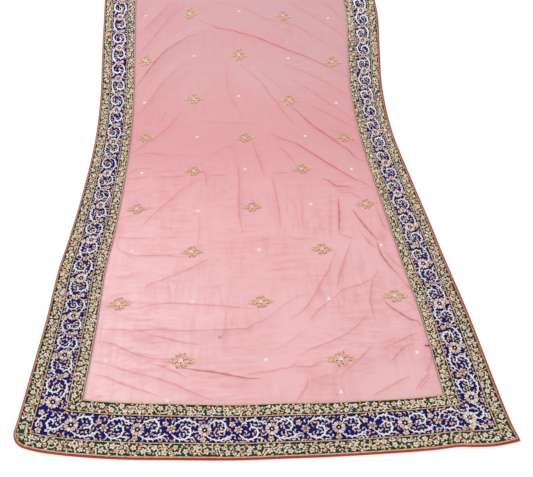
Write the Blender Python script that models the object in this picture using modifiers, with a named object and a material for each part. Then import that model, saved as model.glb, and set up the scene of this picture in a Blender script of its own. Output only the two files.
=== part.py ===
"""A dupatta stole laid flat: a sheer net panel in an embroidered border of three ribbons.

Metres, +Z up.  The stole lies on Z = 0 with its length along Y; the near hem faces -Y.
Every piece is cut as part of one rectangle and then laid down by lay(), which draws the
sides in where the net is gathered.
"""

import math
from collections import namedtuple

import bmesh
import bpy
from mathutils import Vector
from mathutils.geometry import intersect_point_line

# ---- driving dimensions -------------------------------------------------------------

CUT_WIDTH = 0.914
CUT_LENGTH = 2.235

PIPING_WIDTH = 0.005
GREEN_OUTER_WIDTH = 0.027
BLUE_WIDTH = 0.0545
GREEN_INNER_WIDTH = 0.0255

NET_THICKNESS = 0.0010
RIBBON_THICKNESS = 0.0010
PIPING_DIAMETER = 0.0044
CORD_DIAMETER = 0.0024
GAP = 0.0003

# Distance of each border line from the outer edge of the cut.
PIPING_LINE = PIPING_WIDTH
OUTER_LINE = PIPING_LINE + GREEN_OUTER_WIDTH
INNER_LINE = OUTER_LINE + BLUE_WIDTH
NET_LINE = INNER_LINE + GREEN_INNER_WIDTH

# How the cloth lies.  At each place along the length: how far the left and right edges
# are from the middle line, and how much of the border's width shows on each side.
Lie = namedtuple("Lie", "along left right left_border right_border")
LIES = (
    Lie(0.00, 0.459, 0.461, 0.112, 0.112),
    Lie(0.04, 0.454, 0.454, 0.112, 0.108),
    Lie(0.10, 0.449, 0.449, 0.112, 0.106),
    Lie(0.30, 0.436, 0.437, 0.108, 0.100),
    Lie(0.46, 0.430, 0.422, 0.105, 0.098),
    Lie(0.55, 0.420, 0.415, 0.104, 0.097),
    Lie(0.70, 0.407, 0.401, 0.099, 0.094),
    Lie(0.90, 0.398, 0.386, 0.094, 0.089),
    Lie(1.10, 0.404, 0.393, 0.095, 0.092),
    Lie(1.30, 0.420, 0.419, 0.099, 0.098),
    Lie(1.50, 0.435, 0.445, 0.102, 0.102),
    Lie(1.75, 0.452, 0.455, 0.106, 0.106),
    Lie(2.00, 0.457, 0.457, 0.110, 0.110),
    Lie(2.235, 0.457, 0.457, 0.112, 0.112),
)

# The near end sweeps back at both ends, far more at the left than at the right.  At each
# place across: how far the hem, and the net's edge above it, lie back from a straight line.
Sweep = namedtuple("Sweep", "across hem net")
SWEEPS = (
    Sweep(0.00, 0.054, 0.048),
    Sweep(0.03, 0.045, 0.042),
    Sweep(0.06, 0.036, 0.035),
    Sweep(0.12, 0.025, 0.025),
    Sweep(0.20, 0.015, 0.015),
    Sweep(0.30, 0.008, 0.007),
    Sweep(0.40, 0.002, 0.000),
    Sweep(0.50, 0.000, -0.002),
    Sweep(0.57, -0.001, -0.005),
    Sweep(0.70, 0.000, -0.005),
    Sweep(0.76, 0.002, -0.004),
    Sweep(0.80, 0.005, -0.001),
    Sweep(0.83, 0.003, 0.001),
    Sweep(0.87, 0.003, 0.002),
    Sweep(0.914, 0.010, 0.006),
)
SWEEP_END = 0.45

# The outer green ribbon is eased round the near left corner, so its rings are arcs there;
# pieces have one more point part way round them.
CORNER_STATION = 0.021

# The largest folds, as laid: start, middle and end on the floor, half width and height.
Fold = namedtuple("Fold", "start middle end half_width height")
FOLDS = (
    Fold((-0.32, -0.01), (-0.22, 0.21), (-0.08, 0.32), 0.050, 0.006),
    Fold((-0.14, 0.38), (0.05, 0.26), (0.33, 0.02), 0.052, 0.007),
    Fold((-0.33, 0.27), (-0.27, 0.40), (-0.18, 0.52), 0.050, 0.005),
    Fold((-0.15, 0.50), (0.08, 0.40), (0.34, 0.12), 0.052, 0.006),
    Fold((-0.32, -0.18), (-0.24, 0.01), (-0.15, 0.15), 0.048, 0.005),
    Fold((0.02, 0.13), (0.12, -0.07), (0.25, -0.27), 0.050, 0.006),
    Fold((0.14, -0.14), (0.24, -0.25), (0.32, -0.34), 0.046, 0.005),
    Fold((0.05, -0.20), (0.17, -0.29), (0.31, -0.44), 0.048, 0.005),
    Fold((-0.34, -0.81), (-0.16, -0.83), (0.09, -0.77), 0.046, 0.005),
    Fold((0.07, -0.96), (0.20, -0.91), (0.35, -0.84), 0.046, 0.004),
    Fold((-0.28, 0.70), (0.00, 0.80), (0.30, 0.62), 0.055, 0.006),
    Fold((-0.32, 0.88), (-0.10, 0.92), (0.20, 0.86), 0.050, 0.004),
)
FOLD_FADE = 0.045
FOLD_STEPS = 10
FOLD_BLUNT = 0.04

# How finely the pieces are divided.
SIDE_STATIONS = 22
END_STATIONS = 7
NET_DIVISIONS_PER_STATION = 3
CORD_RESOLUTION = 0
CORNER_CLEARANCE = 0.004

Finish = namedtuple("Finish", "color roughness metallic")
PINK_NET = Finish((0.78, 0.44, 0.47), 0.75, 0.0)
GREEN_VELVET = Finish((0.02, 0.13, 0.09), 0.65, 0.0)
BLUE_VELVET = Finish((0.02, 0.02, 0.18), 0.65, 0.0)
GOLD_CORD = Finish((0.72, 0.47, 0.26), 0.40, 0.8)
RED_SATIN = Finish((0.60, 0.04, 0.04), 0.50, 0.0)

COLLECTION = "dupatta_stole"


# ---- how the cut cloth lies on the floor --------------------------------------------

def smooth_column(table, place, column):
    """One column of a table at any place, as a smooth curve through its rows; a row's first
    value is its own place."""
    last = len(table) - 1
    row = 0
    while row < last - 1 and place > table[row + 1][0]:
        row += 1

    def slope(index):
        before = table[max(index - 1, 0)]
        after = table[min(index + 1, last)]
        return (getattr(after, column) - getattr(before, column)) / (after[0] - before[0])

    low = table[row]
    high = table[row + 1]
    span = high[0] - low[0]
    t = min(max((place - low[0]) / span, 0.0), 1.0)
    keep_low = 2 * t ** 3 - 3 * t ** 2 + 1
    leave_low = t ** 3 - 2 * t ** 2 + t
    enter_high = t ** 3 - t ** 2
    return (keep_low * getattr(low, column) + (1 - keep_low) * getattr(high, column)
            + span * (leave_low * slope(row) + enter_high * slope(row + 1)))


def fade_out(share):
    """From 1 at share 0 smoothly down to 0 at share 1."""
    share = min(max(share, 0.0), 1.0)
    return 1 - share * share * (3 - 2 * share)


def near_sweep(across, along):
    """How far a place lies back because of the near end's sweep, fading out up the cloth."""
    hem = smooth_column(SWEEPS, across, "hem")
    net = smooth_column(SWEEPS, across, "net")
    sweep = hem + (net - hem) * min(along / NET_LINE, 1.0)
    return sweep * fade_out((along - NET_LINE) / (SWEEP_END - NET_LINE))


def round_corner(across, along):
    """Move a point of the near left corner so that square rings become arcs."""
    out_across = OUTER_LINE - across
    out_along = OUTER_LINE - along
    if out_across <= 0 or out_along <= 0:
        return across, along
    shrink = max(out_across, out_along) / math.hypot(out_across, out_along)
    return OUTER_LINE - out_across * shrink, OUTER_LINE - out_along * shrink


def shown_inset(inset, border):
    """How far in from the laid edge a place of the border is: the piping keeps its width,
    and the ribbons share the rest of the width that shows."""
    if inset <= PIPING_LINE:
        return inset
    ease = (border - PIPING_LINE) / (NET_LINE - PIPING_LINE)
    return PIPING_LINE + (inset - PIPING_LINE) * ease


def lay(across, along):
    """Where a point of the cut cloth lies on the floor.

    across runs from the left edge of the cut to the right one, along from the near hem.
    """
    across, along = round_corner(across, along)
    left = -smooth_column(LIES, along, "left")
    right = smooth_column(LIES, along, "right")
    left_border = smooth_column(LIES, along, "left_border")
    right_border = smooth_column(LIES, along, "right_border")
    if across <= NET_LINE:
        x = left + shown_inset(across, left_border)
    elif across >= CUT_WIDTH - NET_LINE:
        x = right - shown_inset(CUT_WIDTH - across, right_border)
    else:
        share = (across - NET_LINE) / (CUT_WIDTH - 2 * NET_LINE)
        net_left = left + left_border
        net_right = right - right_border
        x = net_left + share * (net_right - net_left)
    y = along - CUT_LENGTH / 2 + near_sweep(across, along)
    return Vector((x, y, 0.0))


def curve_point(fold, t):
    """A point on the smooth curve through a fold's start, middle and end."""
    start = Vector(fold.start)
    middle = Vector(fold.middle)
    end = Vector(fold.end)
    handle = 2 * middle - (start + end) / 2
    return (1 - t) ** 2 * start + 2 * t * (1 - t) * handle + t ** 2 * end


def fold_height(point, room):
    """Height of the folds at a point of the net; room is its distance from the border."""
    height = 0.0
    for fold in FOLDS:
        for step in range(FOLD_STEPS):
            start = curve_point(fold, step / FOLD_STEPS)
            end = curve_point(fold, (step + 1) / FOLD_STEPS)
            share = min(max(intersect_point_line(point.xy, start, end)[1], 0.0), 1.0)
            reach = (point.xy - start.lerp(end, share)).length / fold.half_width
            if reach < 1.0:
                t = (step + share) / FOLD_STEPS
                t = min(max(t, FOLD_BLUNT), 1.0 - FOLD_BLUNT)
                taper = math.sqrt(math.sin(math.pi * t))
                height = max(height, fold.height * taper * (1 - reach ** 2) ** 2)
    return height * fade_out(1 - room / FOLD_FADE)


# ---- building helpers ---------------------------------------------------------------

def evenly(first, last, steps):
    """steps + 1 evenly spaced numbers from first to last."""
    return [first + (last - first) * step / steps for step in range(steps + 1)]


def stations(size, steps):
    """Places along one side of the cut where pieces have points: the border lines at
    both ends, and evenly between them."""
    lines = [PIPING_LINE, CORNER_STATION, OUTER_LINE]
    middle = evenly(NET_LINE, size - NET_LINE, steps)
    return lines + middle + [size - line for line in reversed(lines)]


def refine(places, times):
    """Divide the stretch inside the border further."""
    first = places.index(NET_LINE)
    last = len(places) - 1 - first
    finer = list(places[:first])
    for low, high in zip(places[first:last], places[first + 1:last + 1]):
        finer += evenly(low, high, times)[:-1]
    return finer + list(places[last:])


def make_material(name, finish):
    """A plain material with the piece's colour."""
    material = bpy.data.materials.new(name)
    material.use_nodes = True
    shader = material.node_tree.nodes["Principled BSDF"]
    shader.inputs["Base Color"].default_value = (*finish.color, 1.0)
    shader.inputs["Roughness"].default_value = finish.roughness
    shader.inputs["Metallic"].default_value = finish.metallic
    material.diffuse_color = (*finish.color, 1.0)
    return material


def make_sheet(name, columns, rows, place, thickness, material, collection):
    """A wall of cloth: a grid whose points are moved to place(column, row), then thickened
    upwards so that its underside is the surface that place() gives."""
    model = bmesh.new()
    bmesh.ops.create_grid(model, x_segments=columns, y_segments=rows, size=1.0)
    for vertex in model.verts:
        column = round((vertex.co.x + 1) / 2 * columns)
        row = round((vertex.co.y + 1) / 2 * rows)
        vertex.co = place(column, row)
    mesh = bpy.data.meshes.new(name)
    model.to_mesh(mesh)
    model.free()
    mesh.materials.append(material)
    sheet = bpy.data.objects.new(name, mesh)
    collection.objects.link(sheet)
    wall = sheet.modifiers.new("Wall", "SOLIDIFY")
    wall.thickness = thickness
    wall.offset = 1.0
    return sheet


def inside(places, inset, size):
    """Those of the places that lie clear inside a ring's two corners."""
    clear = inset + CORNER_CLEARANCE
    return [place for place in places if clear < place < size - clear]


def ring_route(inset):
    """The points of a ring that runs round the cut, inset from its edge."""
    right = CUT_WIDTH - inset
    far = CUT_LENGTH - inset
    across = inside(PLACES_ACROSS, inset, CUT_WIDTH)
    along = inside(PLACES_ALONG, inset, CUT_LENGTH)
    route = [(place, inset) for place in [inset] + across]
    route += [(right, place) for place in [inset] + along]
    route += [(place, far) for place in [right] + across[::-1]]
    route += [(inset, place) for place in [far] + along[::-1]]
    return [lay(*place) for place in route]


def make_ring(name, inset, diameter, bottom, material, collection):
    """A cord laid all round the border, inset from the edge of the cut."""
    curve = bpy.data.curves.new(name, "CURVE")
    curve.dimensions = "3D"
    curve.twist_mode = "Z_UP"
    curve.bevel_depth = diameter / 2
    curve.bevel_resolution = CORD_RESOLUTION
    route = ring_route(inset)
    spline = curve.splines.new("POLY")
    spline.points.add(len(route) - 1)
    spline.use_cyclic_u = True
    for point, laid in zip(spline.points, route):
        point.co = (laid.x, laid.y, bottom + diameter / 2, 1.0)
    curve.materials.append(material)
    ring = bpy.data.objects.new(name, curve)
    collection.objects.link(ring)


# ---- the pieces ---------------------------------------------------------------------

PLACES_ACROSS = stations(CUT_WIDTH, END_STATIONS)
PLACES_ALONG = stations(CUT_LENGTH, SIDE_STATIONS)


def lay_between(across, along):
    """Like lay(), but straight between two places along the edge, so that the net's edge
    keeps its gap to the piping, which has points only at those places."""
    below = max(place for place in PLACES_ALONG if place <= along)
    above = min(place for place in PLACES_ALONG if place >= along)
    before = max(place for place in PLACES_ACROSS if place <= across)
    after = min(place for place in PLACES_ACROSS if place >= across)
    up = (along - below) / (above - below) if above > below else 0.0
    over = (across - before) / (after - before) if after > before else 0.0
    near_side = lay(before, below).lerp(lay(after, below), over)
    far_side = lay(before, above).lerp(lay(after, above), over)
    return near_side.lerp(far_side, up)


def make_net_panel(collection):
    """The sheer net, one piece under the whole border, with its largest folds."""
    across = refine(PLACES_ACROSS, NET_DIVISIONS_PER_STATION)
    along = refine(PLACES_ALONG, NET_DIVISIONS_PER_STATION)

    def place(column, row):
        a = across[column]
        b = along[row]
        room = min(a, CUT_WIDTH - a, b, CUT_LENGTH - b) - NET_LINE
        point = lay_between(a, b)
        point.z = fold_height(point, room) if room > 0 else 0.0
        return point

    material = make_material("pink_net", PINK_NET)
    make_sheet("net_panel", len(across) - 1, len(along) - 1, place, NET_THICKNESS,
               material, collection)


def lay_on_side(side, run, inset):
    """Where a place of the border lies: run along its side, inset from its edge."""
    if side == "left":
        return lay(inset, run)
    if side == "right":
        return lay(CUT_WIDTH - inset, CUT_LENGTH - run)
    if side == "near":
        return lay(CUT_WIDTH - run, inset)
    return lay(run, CUT_LENGTH - inset)


def ribbon_edge(side, inset):
    """The points of a ribbon's edge along one side, from mitre to mitre."""
    runs_along = side in ("left", "right")
    size = CUT_LENGTH if runs_along else CUT_WIDTH
    places = PLACES_ALONG if runs_along else PLACES_ACROSS
    runs = [inset + GAP] + inside(places, inset, size) + [size - inset - GAP]
    return [lay_on_side(side, run, inset) for run in runs]


def match_count(edge, count):
    """The same edge with count points, more of them on its first and last stretch."""
    extra = (count - len(edge)) // 2
    shares = [step / (extra + 1) for step in range(extra + 1)]
    first = [edge[0].lerp(edge[1], share) for share in shares]
    last = [edge[-1].lerp(edge[-2], share) for share in shares]
    return first + edge[1:-1] + last[::-1]


def make_ribbon(name, outer, inner, material, collection):
    """A ribbon round the border as four strips, mitred where they meet at the corners."""
    bottom = NET_THICKNESS + GAP
    for side in ("near", "far", "left", "right"):
        outer_edge = ribbon_edge(side, outer + GAP / 2)
        inner_edge = match_count(ribbon_edge(side, inner - GAP / 2), len(outer_edge))
        edges = (outer_edge, inner_edge)

        def strip_place(column, row, edges=edges):
            point = edges[column][row]
            return Vector((point.x, point.y, bottom))

        make_sheet(f"{name}_{side}", 1, len(outer_edge) - 1, strip_place, RIBBON_THICKNESS,
                   material, collection)


def make_border(collection):
    """The three ribbons, sewn side by side on the net."""
    green = make_material("green_velvet", GREEN_VELVET)
    blue = make_material("blue_velvet", BLUE_VELVET)
    make_ribbon("green_outer", PIPING_LINE, OUTER_LINE, green, collection)
    make_ribbon("blue", OUTER_LINE, INNER_LINE, blue, collection)
    make_ribbon("green_inner", INNER_LINE, NET_LINE, green, collection)


def make_cords(collection):
    """The gold cords couched over the ribbons' edges."""
    gold = make_material("gold_cord", GOLD_CORD)
    bottom = NET_THICKNESS + GAP + RIBBON_THICKNESS + GAP
    at_edge = CORD_DIAMETER / 2 + GAP
    insets = {
        "cord_edge": PIPING_LINE + at_edge,
        "cord_outer": OUTER_LINE,
        "cord_inner": INNER_LINE,
        "cord_net": NET_LINE - at_edge,
    }
    for name, inset in insets.items():
        make_ring(name, inset, CORD_DIAMETER, bottom, gold, collection)


def make_piping(collection):
    """The red binding round the outer edge; it rests on the floor beside the net."""
    red = make_material("red_satin", RED_SATIN)
    inset = PIPING_LINE - GAP - PIPING_DIAMETER / 2
    make_ring("red_piping", inset, PIPING_DIAMETER, 0.0, red, collection)


def main():
    for item in list(bpy.data.objects):
        bpy.data.objects.remove(item)
    collection = bpy.data.collections.new(COLLECTION)
    bpy.context.scene.collection.children.link(collection)
    make_net_panel(collection)
    make_border(collection)
    make_cords(collection)
    make_piping(collection)


main()
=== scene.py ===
# %% [markdown]
# # A dupatta stole, laid out flat
#
# A dupatta is a long stole worn with south Asian dress.  This one is a sheer pink net with three
# velvet ribbons sewn round its edge, covered in raised thread work, and a red satin binding.
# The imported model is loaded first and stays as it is.  Each of its plain solids is then replaced
# by a finished piece that lies in the same place.

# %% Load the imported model
import math
from collections import namedtuple

import bpy
import numpy as np
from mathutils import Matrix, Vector
from mathutils.bvhtree import BVHTree


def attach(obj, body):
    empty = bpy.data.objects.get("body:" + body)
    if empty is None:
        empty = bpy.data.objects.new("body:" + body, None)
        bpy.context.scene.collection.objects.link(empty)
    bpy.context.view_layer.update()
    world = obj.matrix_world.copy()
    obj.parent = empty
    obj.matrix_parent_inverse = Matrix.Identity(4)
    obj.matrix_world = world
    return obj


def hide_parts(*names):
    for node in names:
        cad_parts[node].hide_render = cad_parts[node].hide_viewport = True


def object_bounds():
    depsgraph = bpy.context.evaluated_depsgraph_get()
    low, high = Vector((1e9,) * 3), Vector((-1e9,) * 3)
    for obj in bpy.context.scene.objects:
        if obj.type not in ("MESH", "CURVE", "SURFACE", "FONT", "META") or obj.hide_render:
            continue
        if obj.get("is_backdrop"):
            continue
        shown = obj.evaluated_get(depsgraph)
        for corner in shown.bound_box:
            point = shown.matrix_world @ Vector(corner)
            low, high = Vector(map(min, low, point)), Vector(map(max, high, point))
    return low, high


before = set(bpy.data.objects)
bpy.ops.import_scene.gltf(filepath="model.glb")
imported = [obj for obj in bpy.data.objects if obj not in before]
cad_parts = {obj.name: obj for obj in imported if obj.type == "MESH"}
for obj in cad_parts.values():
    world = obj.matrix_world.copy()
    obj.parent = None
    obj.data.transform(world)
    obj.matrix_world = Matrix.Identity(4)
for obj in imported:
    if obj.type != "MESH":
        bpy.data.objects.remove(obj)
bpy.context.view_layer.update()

BODY = "root"
MM = 0.001

# %% [markdown]
# ## Camera
#
# The stole is seen from its near end, from a little over a metre up, by a camera that is turned
# slightly to the right.  The far end runs out of the top of the picture.

# %% Camera
CAMERA_PLACE = (-0.0295, -1.6735, 1.178)
CAMERA_DOWN = 47.2
CAMERA_TURN = -3.2
CAMERA_LENS = 47.62

bpy.ops.object.camera_add(
    location=CAMERA_PLACE,
    rotation=(math.radians(90 - CAMERA_DOWN), 0, math.radians(CAMERA_TURN)),
)
camera = bpy.context.object
camera.name = "camera_standing"
camera.data.lens = CAMERA_LENS
bpy.context.scene.camera = camera
print("camera looks down", CAMERA_DOWN, "degrees")

# %% [markdown]
# Marks on the net are placed by where they are seen in the camera's picture.  A line of sight
# through such a place meets the floor at one point, which the camera's own values give.

# %% Where a place in the picture lies on the floor
PICTURE_WIDTH = 533
PICTURE_HEIGHT = 477
SENSOR_WIDTH = 36


def on_floor(places):
    """Metres on the floor of places that are given across and down the picture, in its pixels."""
    across, down = np.array(places, float).T
    lens_in_pixels = CAMERA_LENS / SENSOR_WIDTH * PICTURE_WIDTH
    right = (across - PICTURE_WIDTH / 2) / lens_in_pixels
    up = (PICTURE_HEIGHT / 2 - down) / lens_in_pixels
    tilt = math.radians(CAMERA_DOWN)
    turn = math.radians(CAMERA_TURN)
    reach = CAMERA_PLACE[2] / (math.sin(tilt) - up * math.cos(tilt))
    aside = reach * right
    ahead = reach * (math.cos(tilt) + up * math.sin(tilt))
    x = CAMERA_PLACE[0] + aside * math.cos(turn) - ahead * math.sin(turn)
    y = CAMERA_PLACE[1] + aside * math.sin(turn) + ahead * math.cos(turn)
    return np.stack((x, y), axis=1)


print("the middle of the picture lies at", on_floor([(PICTURE_WIDTH / 2, PICTURE_HEIGHT / 2)])[0])

# %% [markdown]
# ## How the cloth lies
#
# The stole was cut as one rectangle.  A place on it is given by two numbers: how far across from
# the left edge, and how far along from the near hem.  When the net is gathered, the sides come in
# and the border narrows a little, so one function lays every place of the cut on the floor.  Every
# piece here uses it, and so they all stay sewn together.

# %% Cut sizes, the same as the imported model's
CUT_WIDTH = 0.914
CUT_LENGTH = 2.235
PIPING_LINE = 0.005
OUTER_LINE = PIPING_LINE + 0.027
INNER_LINE = OUTER_LINE + 0.0545
NET_LINE = INNER_LINE + 0.0255

LIE_COLUMNS = ("along", "left", "right", "left_border", "right_border")
LIES = np.array((
    (0.00, 0.459, 0.461, 0.112, 0.112),
    (0.04, 0.454, 0.454, 0.112, 0.108),
    (0.10, 0.449, 0.449, 0.112, 0.106),
    (0.30, 0.436, 0.437, 0.108, 0.100),
    (0.46, 0.430, 0.422, 0.105, 0.098),
    (0.55, 0.420, 0.415, 0.104, 0.097),
    (0.70, 0.407, 0.401, 0.099, 0.094),
    (0.90, 0.398, 0.386, 0.094, 0.089),
    (1.10, 0.404, 0.393, 0.095, 0.092),
    (1.30, 0.420, 0.419, 0.099, 0.098),
    (1.50, 0.435, 0.445, 0.102, 0.102),
    (1.75, 0.452, 0.455, 0.106, 0.106),
    (2.00, 0.457, 0.457, 0.110, 0.110),
    (2.235, 0.457, 0.457, 0.112, 0.112),
))
SWEEP_COLUMNS = ("across", "hem", "net")
SWEEPS = np.array((
    (0.00, 0.054, 0.048),
    (0.03, 0.045, 0.042),
    (0.06, 0.036, 0.035),
    (0.12, 0.025, 0.025),
    (0.20, 0.015, 0.015),
    (0.30, 0.008, 0.007),
    (0.40, 0.002, 0.000),
    (0.50, 0.000, -0.002),
    (0.57, -0.001, -0.005),
    (0.70, 0.000, -0.005),
    (0.76, 0.002, -0.004),
    (0.80, 0.005, -0.001),
    (0.83, 0.003, 0.001),
    (0.87, 0.003, 0.002),
    (0.914, 0.010, 0.006),
))
SWEEP_END = 0.45


def smooth_column(table, columns, place, column):
    """One column of a table at some places, as a smooth curve through its rows."""
    rows = table[:, 0]
    values = table[:, columns.index(column)]
    before = np.maximum(np.arange(len(rows)) - 1, 0)
    after = np.minimum(np.arange(len(rows)) + 1, len(rows) - 1)
    slopes = (values[after] - values[before]) / (rows[after] - rows[before])
    low = np.clip(np.searchsorted(rows, place, side="left") - 1, 0, len(rows) - 2)
    span = rows[low + 1] - rows[low]
    t = np.clip((place - rows[low]) / span, 0, 1)
    keep = 2 * t ** 3 - 3 * t ** 2 + 1
    leave = t ** 3 - 2 * t ** 2 + t
    enter = t ** 3 - t ** 2
    return (keep * values[low] + (1 - keep) * values[low + 1]
            + span * (leave * slopes[low] + enter * slopes[low + 1]))


def fade_in(share):
    """0 at a share of 0, rising smoothly to 1 at a share of 1."""
    share = np.clip(share, 0, 1)
    return share * share * (3 - 2 * share)


# %% The near hem sweeps back at its ends, and its left corner is eased round
def near_sweep(across, along):
    """How far the near part lies back from straight lines across."""
    hem = smooth_column(SWEEPS, SWEEP_COLUMNS, across, "hem")
    net = smooth_column(SWEEPS, SWEEP_COLUMNS, across, "net")
    gone = fade_in((along - NET_LINE) / (SWEEP_END - NET_LINE))
    return (hem + (net - hem) * np.minimum(along / NET_LINE, 1)) * (1 - gone)


def round_corner(across, along):
    """Move places in the near left corner so that square rings become arcs."""
    out_across = OUTER_LINE - across
    out_along = OUTER_LINE - along
    corner = (out_across > 0) & (out_along > 0)
    reach = np.where(corner, np.hypot(out_across, out_along), 1)
    shrink = np.where(corner, np.maximum(out_across, out_along) / reach, 1)
    return OUTER_LINE - out_across * shrink, OUTER_LINE - out_along * shrink


# %% Lay a place of the cut on the floor
def lie_at(along):
    """Every column of LIES at some places along the length."""
    return {column: smooth_column(LIES, LIE_COLUMNS, along, column) for column in LIE_COLUMNS[1:]}


def shown_inset(inset, border):
    """How far in from the edge a place of the border lies where the border is drawn in."""
    ease = (border - PIPING_LINE) / (NET_LINE - PIPING_LINE)
    return np.where(inset < PIPING_LINE, inset, PIPING_LINE + (inset - PIPING_LINE) * ease)


def lay(across, along):
    """Where places of the cut lie on the floor, as x and y."""
    across, along = round_corner(np.asarray(across, float), np.asarray(along, float))
    lie = lie_at(along)
    x_left = shown_inset(across, lie["left_border"]) - lie["left"]
    x_right = lie["right"] - shown_inset(CUT_WIDTH - across, lie["right_border"])
    share = (across - NET_LINE) / (CUT_WIDTH - 2 * NET_LINE)
    net_left = lie["left_border"] - lie["left"]
    net_right = lie["right"] - lie["right_border"]
    x_net = net_left + share * (net_right - net_left)
    x = np.where(across <= NET_LINE, x_left, np.where(CUT_WIDTH - across <= NET_LINE, x_right, x_net))
    return x, along - CUT_LENGTH / 2 + near_sweep(across, along)


corner_x, corner_y = lay([0, CUT_WIDTH], [0, 0])
print("near corners lie at", np.round(corner_x, 3), np.round(corner_y, 3))

# %% [markdown]
# ## Heights
#
# The net lies almost flat.  It has a dozen broad soft folds, and many narrow creases left from
# packing.  Both are lines on the floor with a rounded ridge along them that dies away at the ends
# and towards the border.  The heavy border only ripples a little.

# %% Broad folds: start, middle and end, then half width and height
Fold = namedtuple("Fold", "start middle end half_width height")
FOLDS = (
    Fold((-0.32, -0.01), (-0.22, 0.21), (-0.08, 0.32), 0.050, 0.006),
    Fold((-0.14, 0.38), (0.05, 0.26), (0.33, 0.02), 0.052, 0.007),
    Fold((-0.33, 0.27), (-0.27, 0.40), (-0.18, 0.52), 0.050, 0.005),
    Fold((-0.15, 0.50), (0.08, 0.40), (0.34, 0.12), 0.052, 0.006),
    Fold((-0.32, -0.18), (-0.24, 0.01), (-0.15, 0.15), 0.048, 0.005),
    Fold((0.02, 0.13), (0.12, -0.07), (0.25, -0.27), 0.050, 0.006),
    Fold((0.14, -0.14), (0.24, -0.25), (0.32, -0.34), 0.046, 0.005),
    Fold((0.05, -0.20), (0.17, -0.29), (0.31, -0.44), 0.048, 0.005),
    Fold((-0.34, -0.81), (-0.16, -0.83), (0.09, -0.77), 0.046, 0.005),
    Fold((0.07, -0.96), (0.20, -0.91), (0.35, -0.84), 0.046, 0.004),
    Fold((-0.28, 0.70), (0.00, 0.80), (0.30, 0.62), 0.055, 0.006),
    Fold((-0.32, 0.88), (-0.10, 0.92), (0.20, 0.86), 0.050, 0.004),
)

# %% Narrow creases: how sharp each is, and the points it runs through
Sharpness = namedtuple("Sharpness", "height half_width tuck_width")
SHARPNESS = {
    "strong": Sharpness(1.6 * MM, 14 * MM, 10.0 * MM),
    "plain": Sharpness(1.0 * MM, 13 * MM, 9.0 * MM),
    "faint": Sharpness(0.5 * MM, 12 * MM, 8.0 * MM),
}
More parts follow.
